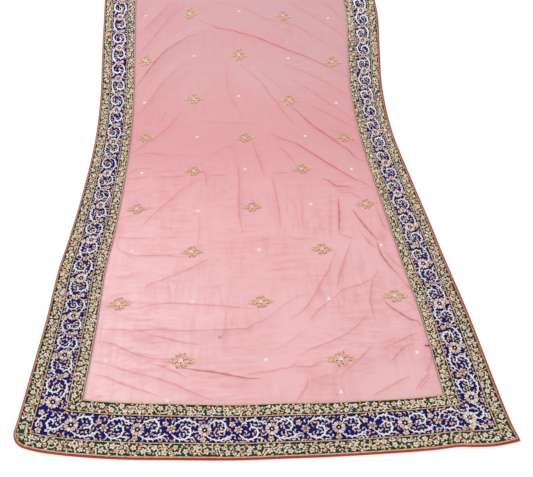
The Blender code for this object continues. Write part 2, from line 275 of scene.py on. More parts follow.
# The places are across and down the camera's picture, in its pixels, each read off it.
CREASES_SEEN = (
    ("strong", ((136, 88), (144, 77), (151, 67.5), (157, 60.5), (162, 55), (168, 49.5), (174, 45.5),
                (181, 41.5), (187, 37.5), (193, 35), (199, 33.5))),
    ("faint", ((197, 32), (204, 30.5), (212, 29))),
    ("strong", ((199, 20.5), (206, 23), (213, 25.5), (218, 28), (225, 29), (232, 30), (240, 33),
                (247, 34.5), (254, 36.5), (264, 40.5), (277, 46), (291, 51.5), (306, 57),
                (320, 63.5), (332, 69), (347, 76.5))),
    ("plain", ((136, 39), (141, 34), (146, 28), (151, 24), (158, 16.5), (164, 10.5), (168, 6.5),
               (173, 1.5))),
    ("plain", ((137, 58), (143, 50.5), (147, 45), (152, 39.5), (157, 33.5), (162, 27), (168, 20),
               (174, 14.5), (179, 10), (186, 4.5))),
    ("plain", ((214, 1.5), (222, 2.5), (230, 4), (238, 6.5), (246, 9), (254, 12.5), (262, 17),
               (270, 20), (280, 21), (290, 24), (300, 28), (309, 34), (317, 38.5), (326, 43.5),
               (332, 47.5), (340, 52), (346, 56.5))),
    ("plain", ((287, 0.5), (293, 5), (300, 9), (309, 14), (317, 19), (326, 24), (331, 27),
               (337, 32), (342, 36.5), (346, 40))),
    ("plain", ((321, 0.5), (327, 5), (331, 8.5), (337, 14), (342, 18.5), (346, 21))),
    ("plain", ((134, 122), (140, 114.5), (146, 106.5), (151, 99.5), (155, 94), (159, 88.5),
               (164, 81.5), (170, 75.5), (177, 69.5), (183, 63.5))),
    ("plain", ((130, 154), (136, 150.5), (143, 146), (150, 141.5), (156, 137.5), (162, 133),
               (168, 127.5), (174, 121), (179, 115.5), (184, 112))),
    ("faint", ((228, 62), (226.5, 70), (227, 80), (228, 90), (231, 99), (236, 106.5), (241, 113),
               (243, 118))),
    ("plain", ((240, 64), (248, 71), (255, 76.5), (261, 82), (266, 89), (271, 96), (277, 102.5),
               (281, 109), (286, 115.5), (292, 122), (299, 127))),
    ("faint", ((255, 65), (261, 71.5), (269, 78.5), (278, 86), (286, 93))),
    ("plain", ((290, 79), (299, 84), (308, 89), (316, 94), (323, 99.5), (330, 104), (337, 108.5),
               (344, 113), (350, 118), (355, 122))),
    ("plain", ((281, 62), (291, 67), (302, 71), (310, 74.5), (319, 79), (327, 83), (336, 89),
               (344, 94), (350, 98))),
    ("plain", ((303, 105), (314, 107.5), (323, 111), (331, 115.5), (340, 120.5), (348, 125),
               (356, 129))),
    ("faint", ((137, 123.5), (144, 123), (152, 122.5))),
    ("faint", ((199, 121), (214, 122), (229, 122.5), (247, 123), (264, 123.5))),
    ("strong", ((290, 105.5), (296, 110.5), (306, 120), (313, 126), (320, 131), (333, 140),
                (341, 145.5), (349, 151), (355, 158), (367, 162))),
    ("strong", ((270, 133), (280, 138.5), (295, 143.5), (306, 150), (315, 155.5), (325, 162),
                (335, 168), (345, 174), (355, 179.5), (372, 187))),
    ("faint", ((156, 153.5), (170, 154.5), (186, 155.5), (200, 156))),
    ("plain", ((125, 179), (137, 178.5), (150, 176.5))),
    ("plain", ((152, 177), (170, 177), (187, 176))),
    ("plain", ((207, 177), (214, 175.5), (228, 175))),
    ("plain", ((272, 174), (281, 173), (292, 173))),
    ("faint", ((240, 173.5), (249, 173))),
    ("plain", ((137, 226), (142, 226), (147, 221), (152, 216), (160, 209), (166, 204), (172, 199),
               (178, 193), (186, 187), (198, 180))),
    ("plain", ((202, 169), (206, 176), (206.5, 187))),
    ("faint", ((200, 214), (199.5, 230), (198, 248))),
    ("plain", ((238, 163), (239, 185), (239, 205), (240, 220), (243, 233))),
    ("plain", ((253, 142), (255, 150), (258, 158), (261, 164), (262, 169), (264, 175))),
    ("plain", ((271, 176), (275, 190), (277, 200), (279, 212), (281, 230))),
    ("strong", ((338, 198), (338.5, 206), (339, 215), (339, 224), (339, 233))),
    ("plain", ((337, 233), (345, 236), (353, 239))),
    ("strong", ((322, 178), (330, 182), (336, 186.5), (344, 186.5), (354, 188))),
    ("strong", ((352, 209), (356, 215), (360, 220.5), (367, 229), (373, 235.5), (377, 240.5))),
    ("plain", ((375, 206), (379, 215), (383, 225), (390, 232))),
    ("plain", ((116, 237), (130, 238.5), (150, 238))),
    ("faint", ((160, 239), (176, 238))),
    ("faint", ((247, 241), (262, 240), (276, 236.5))),
    ("faint", ((286, 234.5), (297, 238.5), (314, 238))),
    ("plain", ((116, 245), (120, 250), (127, 254), (135, 256), (147, 256), (162, 255.5),
               (176, 256.5), (188, 258))),
    ("plain", ((97, 329), (120, 330), (135, 331), (150, 330), (165, 329.5), (180, 331),
               (195, 330.5), (214, 329.5))),
    ("plain", ((206, 329.5), (224, 330), (236, 329), (247, 329), (250, 327), (257, 323), (266, 320))),
    ("faint", ((262, 321), (272, 315), (280, 308), (291, 300), (305, 293))),
    ("plain", ((129, 310), (140, 307.5), (150, 305), (165, 303.5), (180, 303.5), (200, 305),
               (222, 306), (240, 308), (258, 309))),
    ("faint", ((106, 306), (111, 311), (118, 313))),
    ("plain", ((94, 341), (105, 342.5), (115, 345), (122, 348.5), (131, 352.5), (141, 356),
               (152, 358.5), (165, 359.5))),
    ("plain", ((141, 334.5), (150, 335), (160, 337), (170, 339.5), (180, 342), (201, 345))),
    ("strong", ((178, 367.5), (192, 369.5), (200, 371), (214, 372.5), (225, 374.5), (238, 377),
                (250, 378.5), (260, 378.5))),
    ("plain", ((246, 375), (255, 373), (266, 372), (274, 371), (281, 368.5), (288, 368.5),
               (294, 365), (297, 361))),
    ("plain", ((294, 366), (303, 367), (311, 367), (317, 363.5), (323, 360.5))),
    ("plain", ((93, 361), (110, 365.5), (120, 369), (130, 372), (140, 374.5), (150, 376.5),
               (160, 379.5), (170, 383), (178, 386), (186, 390), (198, 395), (214, 401))),
    ("plain", ((94, 375), (103, 376), (112, 380), (122, 384), (132, 387.5), (145, 391.5), (159, 396))),
    ("plain", ((383, 348), (391, 344.5), (400, 341), (409, 336), (419, 332.5))),
    ("plain", ((341, 376), (346, 369.5), (351, 365.5), (356, 361.5), (361, 357.5), (366, 351.5),
               (373, 344))),
    ("faint", ((309, 380), (320, 377), (330, 374), (338, 369.5))),
    ("plain", ((371, 396), (380, 392), (390, 386.5), (400, 381), (411, 375.5))),
    ("plain", ((307, 378), (307.5, 384), (305, 389), (301, 395), (297, 401))),
    ("faint", ((407, 301), (413, 307), (418, 312))),
    ("plain", ((429, 378), (424, 384), (419, 390))),
    ("plain", ((431, 353), (431, 361), (429, 368), (427, 373))),
    ("plain", ((151, 363.5), (160, 366), (168, 369), (175, 372), (181, 375), (188, 378.5))),
    ("faint", ((330, 191), (330, 214), (330.5, 237))),
    ("faint", ((136, 22), (140, 16), (144, 10.5), (149, 5))),
    ("plain", ((129, 175), (133, 171), (140, 168.5), (153, 168.5))),
    ("faint", ((208, 152.5), (215, 153.5), (219, 151), (224, 147.5), (229, 146), (235, 146.5))),
    ("plain", ((277, 146), (284, 151), (290, 157), (296, 166))),
    ("faint", ((326.5, 126.5), (346, 136.5), (362, 149))),
    ("plain", ((334, 190), (344, 193), (351, 193), (363, 199.5))),
    ("faint", ((110, 275.5), (120, 277), (127.5, 277.5), (131, 274), (137.5, 272.5), (144, 273))),
    ("plain", ((375, 277), (362, 284), (350, 287.5), (340, 292), (333, 300))),
    ("plain", ((390, 363), (396, 356), (401, 350), (406, 346), (414, 343.5))),
    ("faint", ((339, 391), (337, 395), (335, 399.5))),
    ("faint", ((303, 189), (302, 205), (303, 228))),
    ("faint", ((119, 218), (127, 216.5), (136, 213.5))),
    ("faint", ((122, 191), (134, 191.5), (142, 189), (151, 186))),
    ("plain", ((130, 158.5), (138, 155.5), (147, 153.5), (154, 153.5), (163, 155), (172, 156))),
    ("plain", ((139, 289), (148, 286), (155, 282), (163, 280), (170, 277), (178, 273.5), (188, 270),
               (196, 265.5), (203, 261.5), (210, 258))),
    ("plain", ((351, 242), (348, 250), (345, 258), (342, 268), (339, 276), (337, 290))),
    ("plain", ((337, 250), (334, 256), (331, 262.5), (329, 270), (325, 276), (321, 282.5),
               (318, 289), (313, 298), (304, 309.5), (290, 319))),
    ("plain", ((378, 271), (373, 279), (371, 289), (370.5, 300), (372, 309), (375, 319))),
    ("plain", ((367, 315), (363, 319), (359, 324), (354, 328), (349, 332), (343, 336), (337, 339),
               (331, 341.5), (326, 343.5), (317, 347), (308, 351), (300, 356))),
    ("plain", ((431, 372), (424, 379), (419, 385), (416, 391))),
    ("plain", ((383, 250), (389, 257), (395, 263), (402, 268.5))),
    ("plain", ((361, 233), (366, 239), (371, 244.5), (378, 249))),
    ("strong", ((377, 242.5), (379, 250), (382.5, 257), (387, 263), (392, 269), (399, 275))),
    ("plain", ((396, 273), (403, 281), (411, 290))),
    ("strong", ((383, 299.5), (390, 307), (397, 311.5), (404, 316), (411, 320), (417, 321),
                (421, 326))),
    ("faint", ((270, 352), (284, 345), (293, 339), (301, 333), (310, 330))),
    ("plain", ((332, 300), (322, 307), (316, 313), (311, 320))),
    ("faint", ((376, 239), (388, 237))),
    ("faint", ((126, 254), (132, 258), (138, 261))),
    ("faint", ((152, 172.5), (165, 171.5), (187, 170))),
    ("faint", ((268, 23), (277, 27), (286, 30), (294, 34))),
    ("faint", ((161, 122), (164, 115.5), (168, 110))),
)
# Past the top of the picture the net is creased in the same way.  These are metres on the floor.
CREASES_BEYOND = (
    ("strong", ((-.300, .655), (-.170, .742), (.010, .801), (.150, .742), (.318, .606))),
    ("plain", ((-.326, .870), (-.190, .916), (-.060, .921), (.110, .880), (.215, .862))),
    ("plain", ((-.318, .566), (-.214, .601), (-.120, .655), (-.046, .742))),
    ("plain", ((.060, .560), (.150, .571), (.248, .540), (.330, .470))),
    ("faint", ((-.060, .575), (-.052, .690), (-.066, .780))),
    ("faint", ((.120, .820), (.128, .905), (.110, .985))),
    ("plain", ((.230, .700), (.262, .790), (.322, .850))),
    ("faint", ((-.240, .780), (-.248, .865), (-.230, .940))),
    ("faint", ((.020, .640), (.090, .668), (.160, .660))),
    ("plain", ((-.312, .975), (-.160, .988), (.040, .982))),
    ("faint", ((.190, .930), (.262, .958), (.322, .965))),
)
CREASES = [(kind, on_floor(places)) for kind, places in CREASES_SEEN]
CREASES += [(kind, np.array(places)) for kind, places in CREASES_BEYOND]
print(len(FOLDS), "broad folds and", len(CREASES), "creases")


# %% A smooth line through a few points
CURVE_STEPS = 24


def smooth_line(points, spacing):
    """Evenly spaced places on a smooth curve through some points, in the plane or in space."""
    points = np.asarray(points, float)
    ends = np.vstack((2 * points[0] - points[1], points, 2 * points[-1] - points[-2]))
    t = np.linspace(0, 1, CURVE_STEPS, endpoint=False)[:, None]
    dense = []
    for first, start, end, last in zip(ends[:-3], ends[1:-2], ends[2:-1], ends[3:]):
        dense.append(0.5 * (2 * start + (end - first) * t
                            + (2 * first - 5 * start + 4 * end - last) * t ** 2
                            + (3 * start - first - 3 * end + last) * t ** 3))
    dense = np.vstack(dense + [points[-1:]])
    steps = np.linalg.norm(np.diff(dense, axis=0), axis=1)
    run = np.concatenate(((0,), np.cumsum(steps)))
    count = max(int(round(run[-1] / spacing)), 2)
    even = np.linspace(0, run[-1], count + 1)
    return np.stack([np.interp(even, run, dense[:, k]) for k in range(points.shape[1])], axis=1)


def heading(line, at):
    """Which way a line in the plane runs at some of its places, as an angle."""
    ahead = np.gradient(line, axis=0)[at]
    return np.arctan2(ahead[:, 1], ahead[:, 0])


def left_of(ahead):
    """Steps of length 1 to the left of some directions in the plane."""
    ahead = ahead / np.linalg.norm(ahead, axis=1)[:, None]
    return np.stack((-ahead[:, 1], ahead[:, 0]), axis=1)


# %% Ridges along lines
RIDGE_BLUNT = 0.5
RIDGE_ENDS = (0.03, 0.97)
FOLD_PLACES = 11


def ridge(x, y, line, half_width, height):
    """Height at places x, y of a rounded ridge along a line that dies away at both ends."""
    best = np.zeros_like(x)
    near = ((x > line[:, 0].min() - half_width) & (x < line[:, 0].max() + half_width)
            & (y > line[:, 1].min() - half_width) & (y < line[:, 1].max() + half_width))
    px, py = x[near], y[near]
    top = np.zeros_like(px)
    for step, (start, end) in enumerate(zip(line[:-1], line[1:])):
        run = end - start
        share = ((px - start[0]) * run[0] + (py - start[1]) * run[1]) / (run @ run)
        share = np.clip(share, 0, 1)
        off = np.hypot(px - start[0] - share * run[0], py - start[1] - share * run[1])
        reach = np.clip(off / half_width, 0, 1)
        t = np.clip((step + share) / (len(line) - 1), *RIDGE_ENDS)
        taper = np.sin(np.pi * t) ** RIDGE_BLUNT
        top = np.maximum(top, height * taper * (1 - reach ** 2) ** 2)
    best[near] = top
    return best


def fold_line(fold):
    """The smooth line of a broad fold through its start, middle and end."""
    start, middle, end = (np.array(point) for point in (fold.start, fold.middle, fold.end))
    handle = 2 * middle - (start + end) / 2
    t = np.linspace(0, 1, FOLD_PLACES)[:, None]
    return (1 - t) ** 2 * start + 2 * t * (1 - t) * handle + t ** 2 * end


# %% Height of the net, and of the ribbons
FOLD_FADE = 0.045
CREASE_FADE = 0.020
NEAR_FLANK = 4 * MM
CREASE_SPACING = 0.02
SLOW_RIPPLE = 0.45
QUICK_RIPPLE = 0.25


def fold_heights(x, y, room):
    """Height of the broad folds; room is how far each place is inside the border."""
    broad = np.zeros_like(x)
    for fold in FOLDS:
        broad = np.maximum(broad, ridge(x, y, fold_line(fold), fold.half_width, fold.height))
    return broad * fade_in(room / FOLD_FADE)


def brought_near(points):
    """Places on the net, given as where they look to be on a flat floor, seen from the camera.

    High up on a fold a place really lies a little nearer than it looks, by as much as the line of
    sight runs back over that height.
    """
    x, y = np.array(points, float).T
    lie = lie_at(y + CUT_LENGTH / 2)
    room = np.minimum(x + lie["left"] - lie["left_border"], lie["right"] - lie["right_border"] - x)
    high = fold_heights(x, y, room) + MM
    return np.stack((x, y - high * (y - CAMERA_PLACE[1]) / CAMERA_PLACE[2]), axis=1)


def crease_line(points, spacing):
    """The smooth line of a crease through its points."""
    return brought_near(smooth_line(points, spacing))


crease_lines = [crease_line(points, CREASE_SPACING) for kind, points in CREASES]


def net_heights(x, y, room):
    """Heights of the net, and how far each place is up a narrow crease's ridge.

    The ridge lies along the near side of its crease.
    """
    narrow = np.zeros_like(x)
    for (kind, points), line in zip(CREASES, crease_lines):
        sharp = SHARPNESS[kind]
        beside = line - np.array((0, NEAR_FLANK))
        narrow = np.maximum(narrow, ridge(x, y, beside, sharp.half_width, sharp.height))
    return fold_heights(x, y, room) + narrow * fade_in(room / CREASE_FADE), narrow


def border_ripple(x, y):
    """The sewn border's slight ripple, 0 to about 1.4 mm."""
    slow = np.sin(21 * x + 2.0 * np.sin(9 * y)) * np.sin(17 * y + 1.6 * np.sin(13 * x))
    quick = np.sin(83 * x + 1.3 * np.sin(41 * y)) * np.sin(71 * y + 1.1 * np.sin(37 * x))
    return (SLOW_RIPPLE * (1 + slow) + QUICK_RIPPLE * (1 + quick)) * MM


# %% [markdown]
# ## Sewing meshes together
#
# The border carries thousands of small raised shapes.  Each kind is modelled once with the usual
# edit tools.  Its points are then copied along the border with numpy, bent through lay(), and
# joined into one mesh, which is far quicker than thousands of objects.

# %% Small helpers for modelling
def deselect_all():
    """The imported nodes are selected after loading, and operators would act on them."""
    if bpy.context.object and bpy.context.object.mode != "OBJECT":
        bpy.ops.object.mode_set(mode="OBJECT")
    bpy.ops.object.select_all(action="DESELECT")


def select_only(piece):
    """Make one object the only selected one."""
    deselect_all()
    piece.select_set(True)
    bpy.context.view_layer.objects.active = piece


def apply_modifiers(piece):
    """Apply every modifier of a piece, top to bottom."""
    select_only(piece)
    for modifier in list(piece.modifiers):
        bpy.ops.object.modifier_apply(modifier=modifier.name)


def edit_all():
    """Go into edit mode with everything selected."""
    bpy.ops.object.mode_set(mode="EDIT")
    bpy.ops.mesh.select_all(action="SELECT")


# %% A shape is its points, its triangles, and a tint for each point, with painted shade and highlight
Shape = namedtuple("Shape", "points faces tint")
SOFT_SHADE = 0.35
DEEP_SHADE = 0.8
EVEN_RISE = 0.6


def take_shape(piece, shade):
    """Turn a small modelled object into a Shape and remove it.

    Points near the foot are tinted darker, as painted shade between the raised parts, and points
    near the top lighter, as a painted highlight.  A bisect gives its faces in another order on
    each run, so the triangles are put in a fixed one.
    """
    mesh = piece.data
    mesh.calc_loop_triangles()
    points = np.empty(len(mesh.vertices) * 3)
    mesh.vertices.foreach_get("co", points)
    points = points.reshape(-1, 3)
    faces = np.array([triangle.vertices[:] for triangle in mesh.loop_triangles])
    first = faces.argmin(axis=1)[:, None]
    faces = np.take_along_axis(faces, (first + np.arange(3)) % 3, axis=1)
    faces = faces[np.lexsort(faces.T[::-1])]
    rise = points[:, 2] / points[:, 2].max()
    # Painted shade below EVEN_RISE of the height, painted highlight above it.
    tint = shade * (rise - EVEN_RISE)
    bpy.data.objects.remove(piece)
    bpy.data.meshes.remove(mesh)
    return Shape(points, faces, tint)


def move_shape(shape, right=0.0, up=0.0, turn=0.0, grow=1.0, tint=0.0):
    """A copy of a shape, grown, turned about its origin and moved."""
    c, s = math.cos(turn), math.sin(turn)
    p, q, h = (shape.points * grow).T
    points = np.stack((c * p - s * q + right, s * p + c * q + up, h), axis=1)
    return Shape(points, shape.faces, shape.tint + tint)


def join_shapes(shapes):
    """Several shapes as one."""
    starts = np.cumsum([0] + [len(shape.points) for shape in shapes[:-1]])
    return Shape(
        np.vstack([shape.points for shape in shapes]),
        np.vstack([shape.faces + start for shape, start in zip(shapes, starts)]),
        np.concatenate([shape.tint for shape in shapes]),
    )


# %% Collect copies of shapes and sew them into one mesh
THREAD_EDGE = math.radians(70)


class Needlework:
    """Many small shapes that end up as one mesh with a chart and a tone for each point."""

    def __init__(self):
        self.points = []
        self.faces = []
        self.charts = []
        self.tones = []
        self.count = 0

    def add(self, points, faces, chart, tone):
        """Take in some points with their triangles, their chart and their tones."""
        self.points.append(points)
        self.faces.append(faces + self.count)
        self.charts.append(chart)
        self.tones.append(tone)
        self.count += len(points)

    def sew(self, name, material):
        """Make the joined mesh, and let it ride on the stole."""
        mesh = bpy.data.meshes.new(name)
        faces = [face for block in self.faces for face in block.tolist()]
        mesh.from_pydata(np.vstack(self.points).tolist(), [], faces)
        corners = np.empty(len(mesh.loops), np.int32)
        mesh.loops.foreach_get("vertex_index", corners)
        chart = mesh.uv_layers.new(name="chart")
        chart.data.foreach_set("uv", np.vstack(self.charts)[corners].astype(np.float32).ravel())
        tone = mesh.attributes.new("tone", "FLOAT", "POINT")
        tone.data.foreach_set("value", np.concatenate(self.tones).astype(np.float32))
        mesh.shade_smooth()
        mesh.set_sharp_from_angle(angle=THREAD_EDGE)
        mesh.materials.append(material)
        piece = bpy.data.objects.new(name, mesh)
        bpy.context.scene.collection.objects.link(piece)
        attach(piece, BODY)
        mesh.calc_loop_triangles()
        print(name, "has", len(mesh.loop_triangles), "triangles")
        return piece


# %% Places on the border
SIDES = ("near", "right", "far", "left")
RIBBON_TOP = 2.3 * MM

# Far up the sides the pattern is drawn out.  The real stole may rise there, while this one lies
# flat, and drawn out the pattern looks right from the camera.
LENGTHENED_AT = (0.72, 1.61, 1.70, 2.05)
LENGTHENED_BY = (1.0, 1.76, 1.76, 1.0)
FAR_START = 0.45
FAR_RUN = 0.9
RUN_PLACES = 400


def side_size(side):
    """Length of the cut along a side."""
    return CUT_WIDTH if side in ("near", "far") else CUT_LENGTH


def along_side(side, run, inset):
    """Across and along of places that lie run along a side, inset from its edge."""
    if side == "near":
        return run, inset
    if side == "right":
        return CUT_WIDTH - inset, run
    if side == "far":
        return CUT_WIDTH - run, CUT_LENGTH - inset
    return inset, CUT_LENGTH - run


def on_border(side, run, inset, height):
    """Points on the floor for places on a side of the border."""
    x, y = lay(*along_side(side, run, inset))
    return np.stack((x, y, height + border_ripple(x, y)), axis=-1)


def from_hem(side, run):
    """How far along the cut, from the near hem, places on a side are."""
    run = np.asarray(run)
    return along_side(side, run, 0.0)[1] + 0 * run


def lengthening(side, run):
    """How many times its usual length the pattern has at places on a side."""
    return np.interp(from_hem(side, run), LENGTHENED_AT, LENGTHENED_BY)


def far_share(side, run):
    """How far along the stole a place on a side is: 0 over the near part, rising to 1."""
    return fade_in((from_hem(side, run) - FAR_START) / FAR_RUN)


def pattern_steps(side, first, last, step=None, gaps=None):
    """Runs between two places on a side, evenly spaced by step or gaps in the lengthened pattern."""
    run = np.linspace(first, last, RUN_PLACES)
    middles = (run[1:] + run[:-1]) / 2
    gone = np.concatenate(([0], np.cumsum(np.diff(run) / lengthening(side, middles))))
    marks = np.arange(0, gone[-1], step) if gaps is None else np.linspace(0, gone[-1], gaps + 1)
    return np.interp(marks, gone, run)


def pattern_length(side, first, last):
    """Length of the pattern between two places on a side, before it is lengthened."""
    run = np.linspace(first, last, RUN_PLACES)
    return (last - first) * float(np.mean(1 / lengthening(side, run)))


Spots = namedtuple("Spots", "run inset turn grow tone")


def sew_on_border(work, side, shape, spots):
    """Copy a shape to many spots on one side of the border."""
    c, s = np.cos(spots.turn)[:, None], np.sin(spots.turn)[:, None]
    p, q, h = (shape.points[:, k][None, :] * spots.grow[:, None] for k in range(3))
    run = spots.run[:, None] + (c * p - s * q) * lengthening(side, spots.run)[:, None]
    inset = spots.inset[:, None] + s * p + c * q
    points = on_border(side, run.ravel(), inset.ravel(), RIBBON_TOP + h.ravel())
    copies = len(spots.run)
    starts = np.arange(copies)[:, None, None] * len(shape.points)
    faces = (shape.faces[None] + starts).reshape(-1, shape.faces.shape[1])
    chart = np.stack((p.ravel(), q.ravel()), axis=1)
    tone = (spots.tone[:, None] + shape.tint[None, :]).ravel()
    work.add(points, faces, chart, tone)


# %% A rope of wound thread along a line
ROPE_END = 0.45
ROPE_LOBE = 0.16
ROPE_SINK = 0.75


def rope(line, radius, sides=5, flat=0.75, closed=False, twist=0.0, shade=SOFT_SHADE):
    """A tube along a line in the plane, as a shape with its foot near height 0.

    radius is one number or one for each place of the line, and an open rope thins at its ends.
    """
    count = len(line)
    if closed:
        ahead = np.roll(line, -1, axis=0) - np.roll(line, 1, axis=0)
        swell = np.ones(count)
    else:
        ahead = np.gradient(line, axis=0)
        t = np.linspace(0, 1, count)
        swell = ROPE_END + (1 - ROPE_END) * np.sin(np.pi * t) ** 0.5
    aside = left_of(ahead)
    angle = 2 * np.pi * np.arange(sides) / sides + np.pi / 2
    lobes = 1 + ROPE_LOBE * np.cos(2 * angle[None, :] - twist * np.arange(count)[:, None])
    lobes = lobes if twist else np.ones_like(lobes)
    size = (radius * swell)[:, None] * lobes
    out = size * np.cos(angle)
    up = flat * size * (np.sin(angle) + ROPE_SINK)
    plane = line[:, None, :] + out[:, :, None] * aside[:, None, :]
    points = np.concatenate((plane, up[:, :, None]), axis=2).reshape(-1, 3)
    faces = []
    for station in range(count if closed else count - 1):
        after = (station + 1) % count
        for side in range(sides):
            beside = (side + 1) % sides
            corners = (station * sides + side, station * sides + beside,
                       after * sides + beside, after * sides + side)
            faces.append((corners[0], corners[2], corners[1]))
            faces.append((corners[0], corners[3], corners[2]))
    if not closed:
        first = (count - 1) * sides
        for side in range(1, sides - 1):
            faces.append((0, side, side + 1))
            faces.append((first, first + side + 1, first + side))
    # Painted shade towards the foot of the rope, painted highlight on its top.
    tint = shade * (points[:, 2] / points[:, 2].max() - EVEN_RISE)
    return Shape(points, np.array(faces), tint)


# %% [markdown]
# ## Finishes
#
# Every finish is a Principled shader fed by a few shared groups: one for the wraps of metal thread
# round its core, one for plain weave or pile, and one that varies a colour from stitch to stitch
# and paints shade low on each stitch and a highlight on its top.
# The groups give out only colours, masks and normals.

# %% Helpers for shader trees
WHITE = (1, 1, 1, 1)
BLACK = (0, 0, 0, 1)


def paint(red, green, blue):
    """A colour from everyday 0 to 255 values, as the linear light that Blender works in."""
    channels = np.array((red, green, blue)) / 255
    light = np.where(channels <= 0.04045, channels / 12.92, ((channels + 0.055) / 1.055) ** 2.4)
    return (*light, 1.0)


def add_node(tree, kind, settings=None, **values):
    """Add a node, set its settings, and set or link its inputs by name."""
    node = tree.nodes.new(kind)
    for name, value in (settings or {}).items():
        setattr(node, name, value)
    for name, value in values.items():
        socket = node.inputs[int(name[1:])] if name[0] == "_" else node.inputs[name.replace("_", " ")]
        if isinstance(value, bpy.types.NodeSocket):
            tree.links.new(value, socket)
        else:
            socket.default_value = value
    return node


def add_math(tree, operation, first, second=0.0):
    """The value of a Math node."""
    return add_node(tree, "ShaderNodeMath", {"operation": operation}, _0=first, _1=second).outputs[0]


def add_mix(tree, share, first, second, blend="MIX"):
    """The colour of a Mix node."""
    settings = {"data_type": "RGBA", "blend_type": blend}
    return add_node(tree, "ShaderNodeMix", settings, _0=share, _6=first, _7=second).outputs[2]


def add_range(tree, value, ends, low=0.0, high=1.0, settings=None):
    """A value that is low at the first of two ends and high at the second."""
    return add_node(tree, "ShaderNodeMapRange", settings, Value=value, From_Min=ends[0],
                    From_Max=ends[1], To_Min=low, To_Max=high).outputs[0]


def add_noise(tree, place, scale, detail=2.0, distortion=0.0):
    """The value of a Noise node."""
    return add_node(tree, "ShaderNodeTexNoise", Vector=place, Scale=scale, Detail=detail,
                    Distortion=distortion).outputs["Fac"]


def add_group(tree, group, **values):
    """One of the shared groups."""
    return add_node(tree, "ShaderNodeGroup", {"node_tree": group}, **values)


def new_group(name, inputs, outputs):
    """An empty shader group with named sockets."""
    tree = bpy.data.node_groups.new(name, "ShaderNodeTree")
    for label, kind, value in inputs:
        socket = tree.interface.new_socket(label, in_out="INPUT", socket_type=kind)
        socket.default_value = value
    for label, kind in outputs:
        tree.interface.new_socket(label, in_out="OUTPUT", socket_type=kind)
    return tree, tree.nodes.new("NodeGroupInput"), tree.nodes.new("NodeGroupOutput")


FLOAT, COLOR, VECTOR = "NodeSocketFloat", "NodeSocketColor", "NodeSocketVector"


# %% Wraps of metal thread, along the piece's own chart
def make_thread_wraps():
    """Fine ridges across the chart, in metres, with their mask and normal."""
    tree, given, result = new_group(
        "thread_wraps",
        [("Wraps per metre", FLOAT, 900.0), ("Slant", FLOAT, 0.4), ("Depth", FLOAT, 0.5)],
        [("Mask", FLOAT), ("Normal", VECTOR)],
    )
    chart = add_node(tree, "ShaderNodeUVMap", {"uv_map": "chart"})
    parts = add_node(tree, "ShaderNodeSeparateXYZ", Vector=chart.outputs[0])
    slanted = add_math(tree, "MULTIPLY", parts.outputs[1], given.outputs["Slant"])
    run = add_math(tree, "ADD", parts.outputs[0], slanted)
    turns = add_math(tree, "MULTIPLY", run, given.outputs["Wraps per metre"])
    wave = add_math(tree, "SINE", add_math(tree, "MULTIPLY", turns, 2 * math.pi))
    mask = add_math(tree, "MULTIPLY_ADD", wave, 0.5)
    mask.node.inputs[2].default_value = 0.5
    bump = add_node(tree, "ShaderNodeBump", Strength=given.outputs["Depth"], Distance=0.0003, Height=mask)
    tree.links.new(mask, result.inputs["Mask"])
    tree.links.new(bump.outputs[0], result.inputs["Normal"])
    return tree


# %% Weave or pile, in the piece's own place
def make_cloth_ground():
    """A plain weave of crossed threads, with soft patches, as two masks and a normal."""
    tree, given, result = new_group(
        "cloth_ground",
        [("Threads per metre", FLOAT, 900.0), ("Patches per metre", FLOAT, 30.0),
         ("Depth", FLOAT, 0.3)],
        [("Threads", FLOAT), ("Patches", FLOAT), ("Normal", VECTOR)],
    )
    place = add_node(tree, "ShaderNodeTexCoord").outputs["Object"]
    parts = add_node(tree, "ShaderNodeSeparateXYZ", Vector=place)
    turns = add_math(tree, "MULTIPLY", given.outputs["Threads per metre"], 2 * math.pi)
    over = add_math(tree, "SINE", add_math(tree, "MULTIPLY", parts.outputs[0], turns))
    under = add_math(tree, "SINE", add_math(tree, "MULTIPLY", parts.outputs[1], turns))
    threads = add_math(tree, "MAXIMUM", over, under)
    patches = add_noise(tree, place, given.outputs["Patches per metre"], detail=4.0)
    bump = add_node(tree, "ShaderNodeBump", Strength=given.outputs["Depth"], Distance=0.0004,
                    Height=add_math(tree, "ADD", threads, patches))
    tree.links.new(threads, result.inputs["Threads"])
    tree.links.new(patches, result.inputs["Patches"])
    tree.links.new(bump.outputs[0], result.inputs["Normal"])
    return tree


# %% Colour that varies from stitch to stitch, with painted shade and highlight by height
MIDDLE_TONE = 0.5
SPECKLES_PER_METRE = 480.0


def make_stitch_tone():
    """Three colours chosen by each point's tone, painted shade and highlight included, and a fine noise."""
    tree, given, result = new_group(
        "stitch_tone",
        [("Dark", COLOR, BLACK), ("Middle", COLOR, (0.5, 0.5, 0.5, 1)),
         ("Light", COLOR, WHITE), ("Speckle", FLOAT, 0.3)],
        [("Color", COLOR)],
    )
    place = add_node(tree, "ShaderNodeTexCoord").outputs["Object"]
    off_middle = add_math(tree, "SUBTRACT", add_noise(tree, place, SPECKLES_PER_METRE), MIDDLE_TONE)
    swing = add_math(tree, "MULTIPLY", off_middle, given.outputs["Speckle"])
    # Each point's tone holds its stitch's own tone plus the painted shade and highlight of its height.
    own = add_node(tree, "ShaderNodeAttribute", {"attribute_name": "tone"}).outputs["Fac"]
    tone = add_math(tree, "ADD", own, swing)
    low = add_range(tree, tone, (0.0, MIDDLE_TONE))
    high = add_range(tree, tone, (MIDDLE_TONE, 1.0))
    darker = add_mix(tree, low, given.outputs["Dark"], given.outputs["Middle"])
    color = add_mix(tree, high, darker, given.outputs["Light"])
    tree.links.new(color, result.inputs["Color"])
    return tree


THREAD_WRAPS = make_thread_wraps()
CLOTH_GROUND = make_cloth_ground()
STITCH_TONE = make_stitch_tone()
print("shader groups:", [group.name for group in bpy.data.node_groups])


